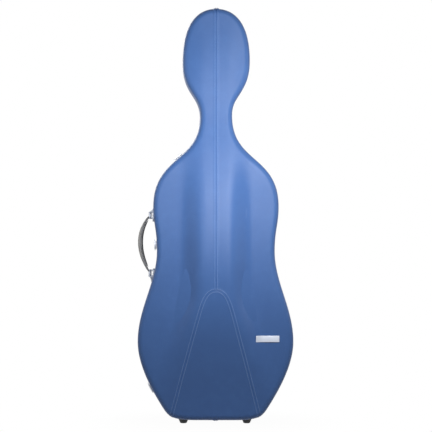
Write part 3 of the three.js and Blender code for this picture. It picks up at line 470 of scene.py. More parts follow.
def meshObject(name, points, faces, merge=0.01):
    mesh = bpy.data.meshes.new(name)
    mesh.from_pydata(points, [], faces)
    piece = bpy.data.objects.new(name, mesh)
    scene.collection.objects.link(piece)
    only(piece)
    if merge:
        bpy.ops.object.mode_set(mode="EDIT")
        bpy.ops.mesh.select_all(action="SELECT")
        bpy.ops.mesh.remove_doubles(threshold=merge * mm)
        bpy.ops.mesh.dissolve_degenerate(threshold=0.001 * mm)
        bpy.ops.object.mode_set(mode="OBJECT")
        if signedVolume(piece) < 0:
            mesh.flip_normals()
    return piece


def signedVolume(piece):
    total = 0.0
    points = [v.co for v in piece.data.vertices]
    for face in piece.data.polygons:
        first = points[face.vertices[0]]
        for b, c in zip(face.vertices[1:], face.vertices[2:]):
            total += first.dot(points[b].cross(points[c]))
    return total


def loftFaces(rows, count):
    faces = []
    for r in range(rows - 1):
        for i in range(count):
            j = (i + 1) % count
            faces.append((r * count + i, r * count + j, (r + 1) * count + j, (r + 1) * count + i))
    return faces


def lofted(name, chain):
    points = [p for row in chain for p in row]
    return meshObject(name, points, loftFaces(len(chain), len(chain[0])))


# finishes

leatherLook = {
    "base": colour(66, 103, 162), "deep": colour(61, 97, 155), "light": colour(71, 109, 169),
    "grain": 620, "grainDepth": 0.0002, "roughness": 0.4, "specular": 0.35,
}
hide = {"softness": 0.45, "creaseScale": 0.55, "creaseWidth": 0.16, "creaseTone": 0.3, "fineScale": 2.4,
        "cloudScale": 5.0, "cloudShare": 0.65, "blotchScale": 38.0, "blotchShare": 0.35, "mixLow": 0.35,
        "mixHigh": 0.75, "pebbleHeight": 0.6, "creaseHeight": 0.35, "fineHeight": 0.22, "strength": 0.8,
        "glossVaries": 0.06}


def leather(name, look):
    # grained hide: pebbles with creases between them, painted shade darkening the creases, and clouds of
    # deeper and lighter dye
    shade = Shade(name)
    pebble = shade.voronoi(look["grain"], "SMOOTH_F1", hide["softness"])
    creases = shade.voronoi(look["grain"] * hide["creaseScale"], "DISTANCE_TO_EDGE")
    fine = shade.noise(look["grain"] * hide["fineScale"], detail=2.0)
    cloud = shade.noise(hide["cloudScale"], roughness=0.55)
    blotch = shade.noise(hide["blotchScale"], detail=4.0, roughness=0.6)
    tone = shade.fit(cloud * hide["cloudShare"] + blotch * hide["blotchShare"], 0.36, 0.64)
    hue = shade.mix(tone, look["deep"], look["light"])
    hue = shade.mix(shade.fit(blotch, 0.3, 0.7, hide["mixLow"], hide["mixHigh"]), look["base"], hue)
    valley = shade.fit(creases, 0.0, hide["creaseWidth"])
    # painted shade: the creases between the pebbles are darkened towards the deep colour
    hue = shade.mix(shade.fit(valley, 0, 1, hide["creaseTone"], 0.0), hue, look["deep"])
    height = (1 - pebble) * hide["pebbleHeight"] + valley * hide["creaseHeight"] + fine * hide["fineHeight"]
    grain = shade.bump(height, look["grainDepth"], hide["strength"])
    gloss = look["roughness"] + (blotch - 0.5) * hide["glossVaries"] + (1 - valley) * hide["glossVaries"]
    return shade.set(Base_Color=hue, Roughness=gloss, Normal=grain, Specular_IOR_Level=look["specular"])


caseLeather = leather("case_leather", leatherLook)
# painted sheen: a slightly lighter copy of the case leather for the raised seam strips, standing in for the
# sheen they catch
seamSheenLeatherLook = dict(leatherLook, base=colour(67, 105, 164), deep=colour(61, 98, 157),
                       light=colour(73, 112, 172))
seamSheenLeather = leather("seam_leather", seamSheenLeatherLook)

moulded = {"cloudScale": 60.0, "fineScale": 2600.0, "worn": (0.05, 0.055, 0.065, 1), "wornShare": 0.35,
           "glossVaries": 0.2, "depth": 0.00008, "strength": 0.5}


def mouldedPlastic(name, tint, roughness):
    shade = Shade(name)
    cloud = shade.noise(moulded["cloudScale"])
    fine = shade.noise(moulded["fineScale"], detail=2.0)
    hue = shade.mix(shade.fit(cloud, 0.3, 0.7, 0.0, moulded["wornShare"]), tint, moulded["worn"])
    return shade.set(Base_Color=hue, Roughness=roughness + (cloud - 0.5) * moulded["glossVaries"],
                     Normal=shade.bump(fine, moulded["depth"], moulded["strength"]))


rimPlastic = mouldedPlastic("rim_plastic", colour(38, 42, 50), 0.5)
print("leather and plastic mixed")


# leather covers of the two shells

coverDetail = {
    "faceSteps": 30, "turnSteps": 9, "grooveSteps": 6, "lip": 0.7,
    "edge": [(0.0, 0.6), (0.2, 0.15)],      # out past the rim's seat, and in under the groove
    "innerTurns": (0, 30, 60, 90), "innerShares": (0.35, 0.7, 1),
}


def coverSteps():
    # from the rim's seat out of the groove, up the wall, over the roundover and in to the middle of the face
    seat, shy, end = caseShape["rimSeat"], caseShape["grooveDepth"], caseShape["grooveEnd"]
    lip = coverDetail["lip"]
    steps = [{"out": seat + out, "shy": shy + under} for out, under in coverDetail["edge"]]
    steps.append({"out": seat + lip, "shy": shy})
    for i in range(1, coverDetail["grooveSteps"] + 1):
        t = i / coverDetail["grooveSteps"]
        steps.append({"out": seat + lip + (end - seat - lip) * t, "shy": shy * (1 - t * t * (3 - 2 * t))})
    return steps + faceSteps(coverDetail)


def faceSteps(detail):
    turns = [{"turn": turn} for turn in evenly(0, 90, detail["turnSteps"])]
    return turns + [{"share": share} for share in evenly(0, 1, detail["faceSteps"])[1:]]


def coverShell(name, half, replaced):
    outline = wholeOutline()
    inner = [{"out": caseShape["rimSeat"]}]
    inner += [{"turn": turn} for turn in coverDetail["innerTurns"]]
    inner += [{"share": share} for share in coverDetail["innerShares"]]
    chain = rings(half, outline, caseShape["shellWall"], inner)[::-1] + rings(half, outline, 0, coverSteps())
    cover = lofted(name, chain)
    for hinge in ("hinge_lower", "hinge_upper"):
        cutPocket(cover, hinge)
    return settle(cover, caseLeather, half["body"], [replaced], angle=50)


def hingeFrame(hinge):
    # the pin's own middle, from its CAD solid, and its joint's direction
    points = [v.co.copy() for v in frame["nodes"][hinge + "_pin"].data.vertices]
    joint = next(j for j in frame["joints"] if j["name"] == "lid_open")
    up = Vector(joint["axis"]).normalized()
    return frameOf(toBack.cross(up), toBack, up, sum(points, Vector()) / len(points))


pocket = {"depth": 2.6, "reach": 28.3, "half": 30.3, "proud": 12}


def modified(piece, kind, **settings):
    only(piece)
    bpy.ops.object.modifier_add(type=kind)
    modifier = piece.modifiers[-1]
    for key, value in settings.items():
        setattr(modifier, key, value)
    bpy.ops.object.modifier_apply(modifier=modifier.name)


def cutPocket(cover, hinge):
    size = ((pocket["proud"] + pocket["depth"]) * mm, 2 * pocket["reach"] * mm, 2 * pocket["half"] * mm)
    shift = (pocket["proud"] - pocket["depth"]) / 2 * mm
    bpy.ops.object.select_all(action="DESELECT")
    bpy.ops.mesh.primitive_cube_add(size=1, location=(0, 0, 0))
    cutter = bpy.context.object
    cutter.data.transform(Matrix.Diagonal((*size, 1)))
    cutter.data.transform(Matrix.Translation((shift, 0, 0)))
    cutter.data.transform(hingeFrame(hinge))
    modified(cover, "BOOLEAN", operation="DIFFERENCE", solver="EXACT", object=cutter)
    bpy.data.objects.remove(cutter)


lidCover = coverShell("lid_cover", lidHalf, "lid_shell")
bodyCover = coverShell("body_cover", bodyHalf, "body_shell")
print("covers lofted:", len(lidCover.data.polygons), len(bodyCover.data.polygons), "faces")


# more finishes

brushing = {"cloudScale": 45.0, "darkShare": 0.55, "glossVaries": 0.18, "cloudVaries": 0.1, "depth": 0.00004,
            "strength": 0.35}


def spun(name, look):
    # brushed metal: its lines run along the axis with the smallest stretch
    shade = Shade(name)
    stretched = [axis * factor for axis, factor in zip(shade.axes(), look["stretch"])]
    drawn = shade.add("ShaderNodeCombineXYZ", None, stretched)
    lines = shade.noise(look["brush"], roughness=0.6, vector=drawn)
    cloud = shade.noise(brushing["cloudScale"], detail=2.0)
    hue = shade.mix(shade.fit(lines, 0.25, 0.75, 0.0, brushing["darkShare"]), look["tint"], look["dark"])
    gloss = look["roughness"] + (lines - 0.5) * brushing["glossVaries"]
    return shade.set(Base_Color=hue, Metallic=1.0, Roughness=gloss + (cloud - 0.5) * brushing["cloudVaries"],
                     Normal=shade.bump(lines, brushing["depth"], brushing["strength"]))


metalLooks = {
    "satin": {"tint": colour(188, 194, 206), "dark": colour(160, 166, 178), "roughness": 0.36,
              "stretch": (1.0, 1.0, 0.06), "brush": 900.0},
    "steel": {"tint": colour(206, 208, 212), "dark": colour(172, 174, 180), "roughness": 0.24,
              "stretch": (1.0, 1.0, 0.1), "brush": 1200.0},
    "plate": {"tint": colour(190, 196, 208), "dark": colour(172, 179, 192), "roughness": 0.4,
              "stretch": (0.03, 1.0, 1.0), "brush": 1500.0},
    # painted shade in part: the cast tint is darker than the satin metal, set between the lit and the shaded
    # tones of the handle brackets
    "cast": {"tint": colour(164, 170, 182), "dark": colour(132, 138, 150), "roughness": 0.46,
             "stretch": (1.0, 1.0, 0.4), "brush": 700.0},
}
satinMetal = spun("satin_metal", metalLooks["satin"])
steel = spun("steel", metalLooks["steel"])
plateMetal = spun("plate_metal", metalLooks["plate"])
shadedCastMetal = spun("cast_metal", metalLooks["cast"])
rubber = mouldedPlastic("rubber", colour(30, 33, 32), 0.62)
gripRubber = mouldedPlastic("grip_rubber", colour(46, 48, 52), 0.58)
gripLook = {"base": colour(177, 175, 172), "deep": colour(158, 157, 155), "light": colour(193, 191, 187),
            "grain": 900, "grainDepth": 0.00016, "roughness": 0.46, "specular": 0.4}
gripLeather = leather("grip_leather", gripLook)

twist = {"strands": 5200.0, "slant": 0.7, "darkShare": 0.6, "roughness": 0.6, "depth": 0.00008,
         "strength": 0.5}


def thread(name, tint, dark):
    # twisted thread: fine slanting strands
    shade = Shade(name)
    x, y, z = shade.axes()
    strands = ((x + y * twist["slant"] + z) * twist["strands"]).math("SINE")
    tone = shade.fit(strands, -1.0, 1.0, 0.0, twist["darkShare"])
    return shade.set(Base_Color=shade.mix(tone, tint, dark), Roughness=twist["roughness"],
                     Normal=shade.bump(strands, twist["depth"], twist["strength"]))


seamThread = thread("seam_thread", colour(124, 153, 206), colour(100, 130, 186))
panelThread = thread("panel_thread", colour(140, 166, 212), colour(112, 140, 192))
gripThread = thread("grip_thread", colour(176, 180, 186), colour(140, 144, 150))
padThread = thread("pad_thread", colour(120, 124, 134), colour(84, 88, 98))


nap = {"patchScale": 16.0, "patchSwirl": 0.6, "pileScale": 1500.0, "clumpScale": 240.0, "pileShare": 0.4,
       "roughness": 0.86, "glossVaries": 0.12, "pileHeight": 0.5, "clumpHeight": 0.5, "depth": 0.0006,
       "strength": 0.6, "sheenRoughness": 0.35}


def velvet(name, look):
    # napped cloth: soft patches where the pile lies one way or the other
    shade = Shade(name)
    patches = shade.noise(nap["patchScale"], roughness=0.55, distortion=nap["patchSwirl"])
    pile = shade.noise(nap["pileScale"], detail=2.0, roughness=0.6)
    clumps = shade.noise(nap["clumpScale"], roughness=0.6)
    tone = shade.fit(patches, 0.35, 0.65, 0.1, 0.8)
    hue = shade.mix(tone, look["dark"], look["light"])
    hue = shade.mix(shade.fit(pile, 0.3, 0.7, 0.0, nap["pileShare"]), hue, look["dark"])
    height = pile * nap["pileHeight"] + clumps * nap["clumpHeight"]
    return shade.set(Base_Color=hue, Roughness=nap["roughness"] + (patches - 0.5) * nap["glossVaries"],
                     Normal=shade.bump(height, nap["depth"], nap["strength"]), Sheen_Weight=look["sheen"],
                     Sheen_Roughness=nap["sheenRoughness"], Sheen_Tint=look["sheenTint"])


liningVelvet = velvet("lining_velvet", {"dark": colour(38, 42, 52), "light": colour(60, 66, 80),
                                        "sheen": 0.5, "sheenTint": colour(150, 160, 185)})
padVelvet = velvet("pad_velvet", {"dark": colour(46, 51, 63), "light": colour(70, 77, 93),
                                  "sheen": 0.5, "sheenTint": colour(160, 168, 190)})
padPiping = velvet("pad_piping", {"dark": colour(30, 34, 44), "light": colour(46, 51, 64),
                                  "sheen": 0.3, "sheenTint": colour(150, 160, 185)})


tapeLook = {"tint": colour(52, 57, 70), "dark": colour(24, 27, 35), "threads": 2600.0, "fluffScale": 900.0,
            "fluffShare": 0.3, "roughness": 0.78, "glossVaries": 0.2, "weaveHeight": 0.7, "fluffHeight": 0.3,
            "depth": 0.0003, "strength": 0.7}


def webbing(name, look):
    # woven tape: threads that cross on the slant
    shade = Shade(name)
    x, _, z = shade.axes()
    across, up = x * look["threads"], z * look["threads"]
    weave = (across + up).math("SINE").math("MAXIMUM", (across - up).math("SINE"))
    fluff = shade.noise(look["fluffScale"])
    hue = shade.mix(shade.fit(weave, -0.6, 1.0, 0.0, 1.0), look["dark"], look["tint"])
    hue = shade.mix(shade.fit(fluff, 0.3, 0.8, 0.0, look["fluffShare"]), hue, look["tint"])
    height = weave * look["weaveHeight"] + fluff * look["fluffHeight"]
    return shade.set(Base_Color=hue, Roughness=look["roughness"] + (fluff - 0.5) * look["glossVaries"],
                     Normal=shade.bump(height, look["depth"], look["strength"]))


tapeCloth = webbing("tape_cloth", tapeLook)
print("metals, thread, velvet and tape mixed")


# rims, gasket and linings

def roundedSection(near, far, low, high, radius, steps=3):
    # a box section with turned corners: each point's inset from the outline, and distance from the parting
    corners = [(near, low, 180), (far, low, 270), (far, high, 0), (near, high, 90)]
    found = []
    for a, b, start in corners:
        midA = a + radius if a == near else a - radius
        midB = b + radius if b == low else b - radius
        for turn in map(math.radians, evenly(start, start + 90, steps)):
            found.append((midA + radius * math.cos(turn), midB + radius * math.sin(turn)))
    return found


def hoop(name, half, section):
    # a bar of one section that runs all round the outline
    chain = [[Vector((x - outX * inset, half["side"] * high, z - outZ * inset)) * mm
              for x, z, outX, outZ in wholeOutline()] for inset, high in section]
    return lofted(name, chain + chain[:1])


rims = {"near": 2.0, "far": 12.0, "low": 1.2, "high": 6.0, "edge": 1.3}
rimSection = roundedSection(rims["near"], rims["far"], rims["low"], rims["high"], rims["edge"])
for node, half in (("lid_rim", lidHalf), ("body_rim", bodyHalf)):
    rimPiece = hoop(node + "_bead", half, rimSection)
    for hinge in ("hinge_lower", "hinge_upper"):
        cutPocket(rimPiece, hinge)
    settle(rimPiece, rimPlastic, half["body"], [node], angle=40)

gasket = {"near": 6.0, "far": 10.0, "half": 0.9, "edge": 0.85, "steps": 4}
gasketSection = roundedSection(gasket["near"], gasket["far"], -gasket["half"], gasket["half"], gasket["edge"],
                               gasket["steps"])
gasketCord = hoop("rim_gasket_cord", bodyHalf, gasketSection)
settle(gasketCord, rubber, "case_body", ["rim_gasket"], angle=40)

lining = {"under": 0.35, "roll": 2.6, "rollTurns": (90, 60, 30, 0), "faceSteps": 22, "turnSteps": 7,
          "fineness": 0.7, "seatGap": 0.05, "innerStart": 8, "outerStart": 4}


def liningShell(name, half, body, replaced):
    # from under the rim round the rolled edge, over the inner side and back along the shell
    outer = caseShape["shellWall"] + lining["under"]
    seat = caseShape["rimSeat"] + lining["seatGap"]
    outline = wholeOutline(lining["fineness"])
    overFace = faceSteps(lining)
    innerSteps = []
    for turn in lining["rollTurns"]:
        a = math.radians(turn)
        innerSteps.append({"out": seat + lining["roll"] * (1 - math.sin(a)),
                           "shy": -lining["roll"] * (1 - math.cos(a))})
    innerSteps += [{"out": seat + lining["innerStart"]}] + overFace
    outerSteps = [{"out": seat}, {"out": seat + lining["outerStart"]}] + overFace[::2] + overFace[-1:]
    innerRings = rings(half, outline, liningInset, innerSteps)
    outerRings = rings(half, outline, outer, outerSteps)
    piece = lofted(name, outerRings[::-1] + innerRings)
    return settle(piece, liningVelvet, body, [replaced], angle=50)


lidLining = liningShell("lid_lining_plush", lidHalf, "lid", "lid_lining")
bodyLining = liningShell("body_lining_plush", bodyHalf, "case_body", "body_lining")
print("rims, gasket and linings laid")


# seams and their stitches

def skinTree(piece):
    faces = [tuple(f.vertices) for f in piece.data.polygons]
    return BVHTree.FromPolygons([v.co.copy() for v in piece.data.vertices], faces)


lidTree, bodyTree = skinTree(lidCover), skinTree(bodyCover)
edgePoints = np.array([(x, z) for x, z, _, _ in wholeOutline(fineness=4)])


def edgeDistance(x, z):
    return float(np.min(np.hypot(edgePoints[:, 0] - x, edgePoints[:, 1] - z)))


def skinPoint(half, x, z):
    # a point of the skin under a place on the outline's plane
    inside = edgeDistance(x, z)
    cosine = max(1 - inside / half["round"], 0)
    drop = half["round"] * (1 - math.sqrt(1 - cosine * cosine))
    return Vector((x, half["side"] * (half["depth"](x, z) - drop), z)) * mm


def wallPoints(half, x, z, stop, step=4.0):
    # down the wall from the roundover to near the rim
    top = half["depth"](x, z) - half["round"]
    depths = evenly(top, stop, max(int((top - stop) / step), 1))[1:]
    return [Vector((x, half["side"] * depth, z)) * mm for depth in depths]


shortest = 1e-9     # keeps two points that fall together from dividing by nothing


def spaced(points, step):
    # even steps along a path: each with the way it runs
    lengths = [0.0]
    for a, b in zip(points, points[1:]):
        lengths.append(lengths[-1] + (b - a).length)
    count = max(int(lengths[-1] / step), 2)
    found, k = [], 0
    for at in evenly(0, lengths[-1], count):
        while k < len(points) - 2 and lengths[k + 1] < at:
            k += 1
        share = (at - lengths[k]) / max(lengths[k + 1] - lengths[k], shortest)
        found.append(points[k].lerp(points[k + 1], share))
    runs = []
    for i, p in enumerate(found):
        before, after = found[max(i - 1, 0)], found[min(i + 1, count)]
        runs.append((p, (after - before).normalized()))
    return runs


def onSkin(tree, point):
    place, normal, _, _ = tree.find_nearest(point)
    return place, normal


# from the seam's middle outwards: the fold beside it, the dip at the stitches, and the flap's edge
seamHalf = [(0.8, 0.5), (1.9, 0.95), (3.3, 0.8), (4.4, 0.22), (5.8, 0.5), (7.6, 0.4), (9.5, 0.02)]
seamLook = {"section": [(-u, h) for u, h in reversed(seamHalf)] + [(0.0, -0.3)] + seamHalf,
            "sunk": 1.0, "step": 4.0}
stitchLook = {"length": 4.1, "width": 1.6, "height": 0.75, "pitch": 4.9, "rows": (-4.4, 4.4), "rise": 0.25}
panelStitchLook = dict(stitchLook, rows=(-4.8, 4.8))


def seamStrip(name, tree, path, look, body, replaced=(), lift=lambda height: 1):
    # a closed strip along the skin: puffed up beside the seam, and drawn down by the stitches and into it
    rows = []
    for place, run in spaced(path, look["step"] * mm):
        spot, normal = onSkin(tree, place)
        side = run.cross(normal).normalized()
        raised = [(u, h * lift(place.z / mm)) for u, h in look["section"]]
        under = [(u, -look["sunk"]) for u, _ in reversed(look["section"][::2])]
        row = []
        for u, h in raised + under:
            q, n = onSkin(tree, spot + side * (u * mm))
            row.append(q + n * (h * mm))
        rows.append(row)
    count = len(rows[0])
    points = [p for row in rows for p in row]
    faces = loftFaces(len(rows), count)
    faces.append(tuple(range(count))[::-1])
    faces.append(tuple((len(rows) - 1) * count + i for i in range(count)))
    piece = meshObject(name, points, faces, merge=0)
    if signedVolume(piece) < 0:
        piece.data.flip_normals()
    # the strip takes the lighter leather, whose colour paints sheen on the welt
    return settle(piece, seamSheenLeather, body, replaced, angle=70)


def template(piece):
    # takes the points and faces of a small shape, to copy it many times
    bpy.context.view_layer.update()
    points = np.array([tuple(piece.matrix_world @ v.co) for v in piece.data.vertices])
    faces = [tuple(f.vertices) for f in piece.data.polygons]
    bpy.data.objects.remove(piece)
    return points, faces


def stitchShape(look):
    # a bulging thread that dips into the leather at both ends
    bpy.ops.object.select_all(action="DESELECT")
    bpy.ops.mesh.primitive_uv_sphere_add(segments=8, ring_count=5, radius=0.5, rotation=(0, math.pi / 2, 0))
    piece = bpy.context.object
    bpy.ops.object.transform_apply(rotation=True)
    piece.scale = (look["length"] * mm, look["width"] * mm, 2 * look["height"] * mm)
    bpy.ops.object.transform_apply(scale=True)
    return template(piece)


def copies(name, shape, places):
    # one mesh with a copy of the shape at each place
    points, faces = shape
    allPoints, allFaces = [], []
    for place in places:
        turn = np.array(place.to_3x3())
        shift = np.array(place.translation)
        start = len(allPoints)
        allPoints.extend(map(tuple, points @ turn.T + shift))
        allFaces.extend(tuple(start + i for i in f) for f in faces)
    return meshObject(name, allPoints, allFaces, merge=0)


def standing(place, run, normal):
    # a frame on a surface, with x as near to a run as the surface lets it be
    side = normal.cross(run).normalized()
    along = side.cross(normal).normalized()
    return frameOf(along, side, normal, place)


def stitchPlaces(tree, path, look):
    places = []
    for place, run in spaced(path, look["pitch"] * mm):
        spot, normal = onSkin(tree, place)
        side = run.cross(normal).normalized()
        for offset in look["rows"]:
            q, n = onSkin(tree, spot + side * (offset * mm))
            places.append(standing(q + n * (look["rise"] * mm), run, n))
    return places


def stitches(name, tree, path, look, body, material):
    piece = copies(name, stitchShape(look), stitchPlaces(tree, path, look))
    return settle(piece, material, body, angle=60)


def roundoverPoints(half, at, count=12):
    # over the roundover from the face to the wall, at a place that a function gives for each inset
    found = []
    for turn in map(math.radians, evenly(90, 0, count)[1:]):
        x, z = at(half["round"] * (1 - math.cos(turn)))
        drop = half["round"] * (1 - math.sin(turn))
        found.append(Vector((x, half["side"] * (half["depth"](x, z) - drop), z)) * mm)
    return found


seamStop = 8.5
crown, floorGap, bridge = caseShape["crown"], caseShape["base"][1], caseShape["bridge"]


def heights(low, high, step=6.0):
    return evenly(low, high, max(int(abs(high - low) / step), 1))


def middlePath(half, start, end):
    # up or down the middle of the face to the crown or the base, over the roundover and down the wall
    inward = math.copysign(1, start - end)
    face = [skinPoint(half, 0, z) for z in heights(start, end + inward * half["round"])]
    over = roundoverPoints(half, lambda inset: (0, end + inward * inset))
    return face + over + wallPoints(half, 0, end, seamStop)


panelArch = {"size": 2.97, "fade": 50, "step": 4.0, "topPace": 8.1, "reach": 4, "halvings": 30}
flank = [(x, z) for x, z, _, _ in halfOutline(fineness=4)]


def flankAt(z):
    # half the width of the outline at a height
    return float(np.interp(z, [p[1] for p in flank], [p[0] for p in flank]))


def panelPlace(u):
    # the panel seam runs down and out from its top, which is a little broader than the ridge's own edge
    fall = u * u
    spread = caseShape["seamSpread"] * math.sqrt(fall * (fall + 2 * caseShape["seamRound"]))
    return spread + panelArch["size"] * u * math.exp(-fall / panelArch["fade"]), bridge - fall


def panelPath(half):
    steps = [0.0]
    while edgeDistance(*panelPlace(steps[-1])) > half["round"]:
        steps.append(steps[-1] + panelArch["step"] / math.hypot(2 * steps[-1], panelArch["topPace"]))
    last = steps.pop()

    def at(inset):
        # where the seam comes this near to the outline, found by halving
        near, far = steps[-1], last + panelArch["reach"]
        for _ in range(panelArch["halvings"]):
            middle = (near + far) / 2
            x, z = panelPlace(middle)
            if x < flankAt(z) and edgeDistance(x, z) > inset:
                near = middle
            else:
                far = middle
        return panelPlace(near)

    right = [skinPoint(half, *panelPlace(u)) for u in steps] + roundoverPoints(half, at)
    right += wallPoints(half, *at(0.0), seamStop)
    left = [Vector((-p.x, p.y, p.z)) for p in right[:0:-1]]
    return left + right


seamEnds = {"crown": 4.0, "base": 3.0, "run": 30, "aboveApex": 5}


def endLift(z):
    # the seam stands up where it runs over the crown and over the base
    top = min(max((z - crown + seamEnds["run"]) / seamEnds["run"], 0), 1)
    low = min(max((floorGap + seamEnds["run"] - z) / seamEnds["run"], 0), 1)
    return 1 + (seamEnds["crown"] - 1) * top + (seamEnds["base"] - 1) * low


panelSeamPath = panelPath(lidHalf)
lidSeamPath = middlePath(lidHalf, bridge + seamEnds["aboveApex"], crown)
seamStrip("lid_seam", lidTree, lidSeamPath, seamLook, "lid", ["lid_seam_welt"], endLift)
stitches("lid_seam_stitches", lidTree, lidSeamPath, stitchLook, "lid", seamThread)
seamStrip("panel_seam", lidTree, panelSeamPath, seamLook, "lid")
stitches("panel_seam_stitches", lidTree, panelSeamPath, panelStitchLook, "lid", panelThread)
overBase = roundoverPoints(lidHalf, lambda inset: (0, floorGap + inset))
baseNub = overBase[8:] + wallPoints(lidHalf, 0, floorGap, seamStop)     # from low on the roundover
seamStrip("lid_base_seam", lidTree, baseNub, seamLook, "lid", (), endLift)

backGap = {"low": 947.0, "high": 989.0, "start": 300.0}
backLowPath = middlePath(bodyHalf, backGap["start"], floorGap)
backUpPath = [skinPoint(bodyHalf, 0, z) for z in heights(backGap["start"], backGap["low"])]
backSeamPath = backUpPath[::-1] + backLowPath[1:]
backCrownPath = middlePath(bodyHalf, backGap["high"], crown)
seamStrip("back_seam", bodyTree, backSeamPath, seamLook, "case_body", ["back_seam_welt"])
stitches("back_seam_stitches", bodyTree, backSeamPath, stitchLook, "case_body", seamThread)
seamStrip("back_crown_seam", bodyTree, backCrownPath, seamLook, "case_body")
stitches("back_crown_stitches", bodyTree, backCrownPath, stitchLook, "case_body", seamThread)
print("seams sewn")


# metal and moulded pieces, from copies of the solids with their edges rounded

def copyOf(node, name):
    source = frame["nodes"][node]
    piece = bpy.data.objects.new(name, source.data.copy())
    scene.collection.objects.link(piece)
    only(piece)
    bpy.ops.mesh.customdata_custom_splitnormals_clear()
    bpy.ops.object.mode_set(mode="EDIT")
    bpy.ops.mesh.select_all(action="SELECT")
    bpy.ops.mesh.remove_doubles(threshold=0.004 * mm)
    bpy.ops.mesh.dissolve_limited(angle_limit=math.radians(0.6))
    bpy.ops.object.mode_set(mode="OBJECT")
    return piece


sharpFrom = math.radians(32)


def rounded(node, ending, material, edge, segments=2):
    # a copy of a solid with its sharp edges rolled over, named after its node
    piece = copyOf(node, node + "_" + ending)
    modified(piece, "BEVEL", width=edge * mm, segments=segments, limit_method="ANGLE", angle_limit=sharpFrom)
    return settle(piece, material, bodyOf(node), [node])


def subdivided(piece):
    modified(piece, "SUBSURF", levels=1, render_levels=1)


def bodyOf(node):
    return frame["nodes"][node]["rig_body"]


innermost = 45     # points nearer the middle than this are the base's and the crown's
flankPoints = [point for point in halfOutline(fineness=8) if point[0] >= innermost]


def outlinePlace(height, side):
    # the point of the outline's flank at a height, and the way that faces out
    x, z, outX, outZ = min(flankPoints, key=lambda point: abs(point[1] - height))
    return Vector((side * x, 0, z)) * mm, Vector((side * outX, 0, outZ))


def frameAt(origin, out):
    # x along the rim, y across it towards the back, z outwards
    return frameOf(toBack.cross(out).normalized(), toBack, out, origin)


rivetLook = {"radius": 2.4, "depth": 1.6, "edge": 1.08, "edgeSteps": 3, "socket": 0}
screwLook = {"radius": 3.2, "depth": 1.76, "edge": 0.5, "edgeSteps": 2, "socket": 0.8, "socketRim": 0.96}


squareOn = 0.98     # how much of a face's normal lies along an axis, for the face to count as facing that way


def headShape(look):
    # a rivet's domed head, or a screw's with a round socket, half sunk in what it holds
    bpy.ops.object.select_all(action="DESELECT")
    bpy.ops.mesh.primitive_cylinder_add(vertices=18, radius=look["radius"] * mm, depth=look["depth"] * mm)
    piece = bpy.context.object
    selectFaces(piece, lambda centre, normal: normal.z > squareOn)
    bpy.ops.mesh.bevel(offset=look["edge"] * mm, segments=look["edgeSteps"])
    if look["socket"]:
        bpy.ops.mesh.inset(thickness=look["socketRim"] * mm)
        bpy.ops.transform.translate(value=(0, 0, -look["socket"] * mm))
    bpy.ops.object.mode_set(mode="OBJECT")
    return template(piece)


def selectFaces(piece, test):
    # leaves edit mode on, with the faces selected that pass a test of their middle and normal
    only(piece)
    bpy.ops.object.mode_set(mode="EDIT")
    bpy.ops.mesh.select_mode(type="FACE")
    bpy.ops.mesh.select_all(action="DESELECT")
    bpy.ops.object.mode_set(mode="OBJECT")
    for face in piece.data.polygons:
        face.select = test(face.center, face.normal)
    bpy.ops.object.mode_set(mode="EDIT")


def fasteners(name, on, spots, look, body):
    # each is dropped on to its piece from outside, and sits flat on the face it meets
    tree = skinTree(on)
    places = []
    for start, down in spots:
        place, normal, _, _ = tree.ray_cast(start, down)
        along = normal.orthogonal().normalized()
        places.append(standing(place, along, normal))
    return settle(copies(name, headShape(look), places), steel, body, angle=40)


def dropped(frameMatrix, spots, above):
    out = frameMatrix.to_3x3() @ Vector((0, 0, 1))
    return [(frameMatrix @ (Vector((x, y, above)) * mm), -out) for x, y in spots]


# latches

latchHeights = {"shoulder": 864, "waist": 579, "lower": 112}
latchRivets = {"base": (13, 29.5), "baseAbove": 7.6, "keeper": (10.5, -18.5), "keeperAbove": 30}


def latchSpots(place, part):
    # a pair of rivets: along the rim to each side, and across it
    along, across = latchRivets[part]
    return dropped(place, [(-along, across), (along, across)], latchRivets[part + "Above"])


for where, height in latchHeights.items():
    name = "latch_" + where
    basePlate = rounded(name + "_base", "cast", satinMetal, edge=0.35)
    rounded(name + "_lever", "pressed", satinMetal, edge=0.4)
    rounded(name + "_bail", "wire", steel, edge=0.45)
    keeper = rounded(name + "_keeper", "cast", satinMetal, edge=0.35)
    rounded(name + "_pin", "end", steel, edge=0.15)
    place = frameAt(*outlinePlace(height, -1))
    fasteners(name + "_base_rivets", basePlate, latchSpots(place, "base"), rivetLook, "case_body")
    fasteners(name + "_keeper_rivets", keeper, latchSpots(place, "keeper"), rivetLook, "lid")
print("latches fitted")

# hinges

for name in ("hinge_lower", "hinge_upper"):
    rounded(name + "_body_leaf", "metal", satinMetal, edge=0.25)
    rounded(name + "_lid_leaf", "metal", satinMetal, edge=0.25)
    rounded(name + "_pin", "rod", steel, edge=0.3)
print("hinges fitted")

# feet, each with a sunk screw

footLook = {"edge": 1.2, "recessInset": 4.2, "recessDepth": 2.0, "flat": 0.2, "screwFrom": 30}


def recess(piece, axis):
    # a round hole in the end that faces along an axis
    far = max(axis.dot(v.co) for v in piece.data.vertices)
    far -= footLook["flat"] * mm
    selectFaces(piece, lambda centre, normal: normal.dot(axis) > squareOn and axis.dot(centre) > far)
    bpy.ops.mesh.inset(thickness=footLook["recessInset"] * mm)
    inward = axis * (-footLook["recessDepth"] * mm)
    bpy.ops.mesh.extrude_region_move(TRANSFORM_OT_translate={"value": tuple(inward)})
    bpy.ops.object.mode_set(mode="OBJECT")


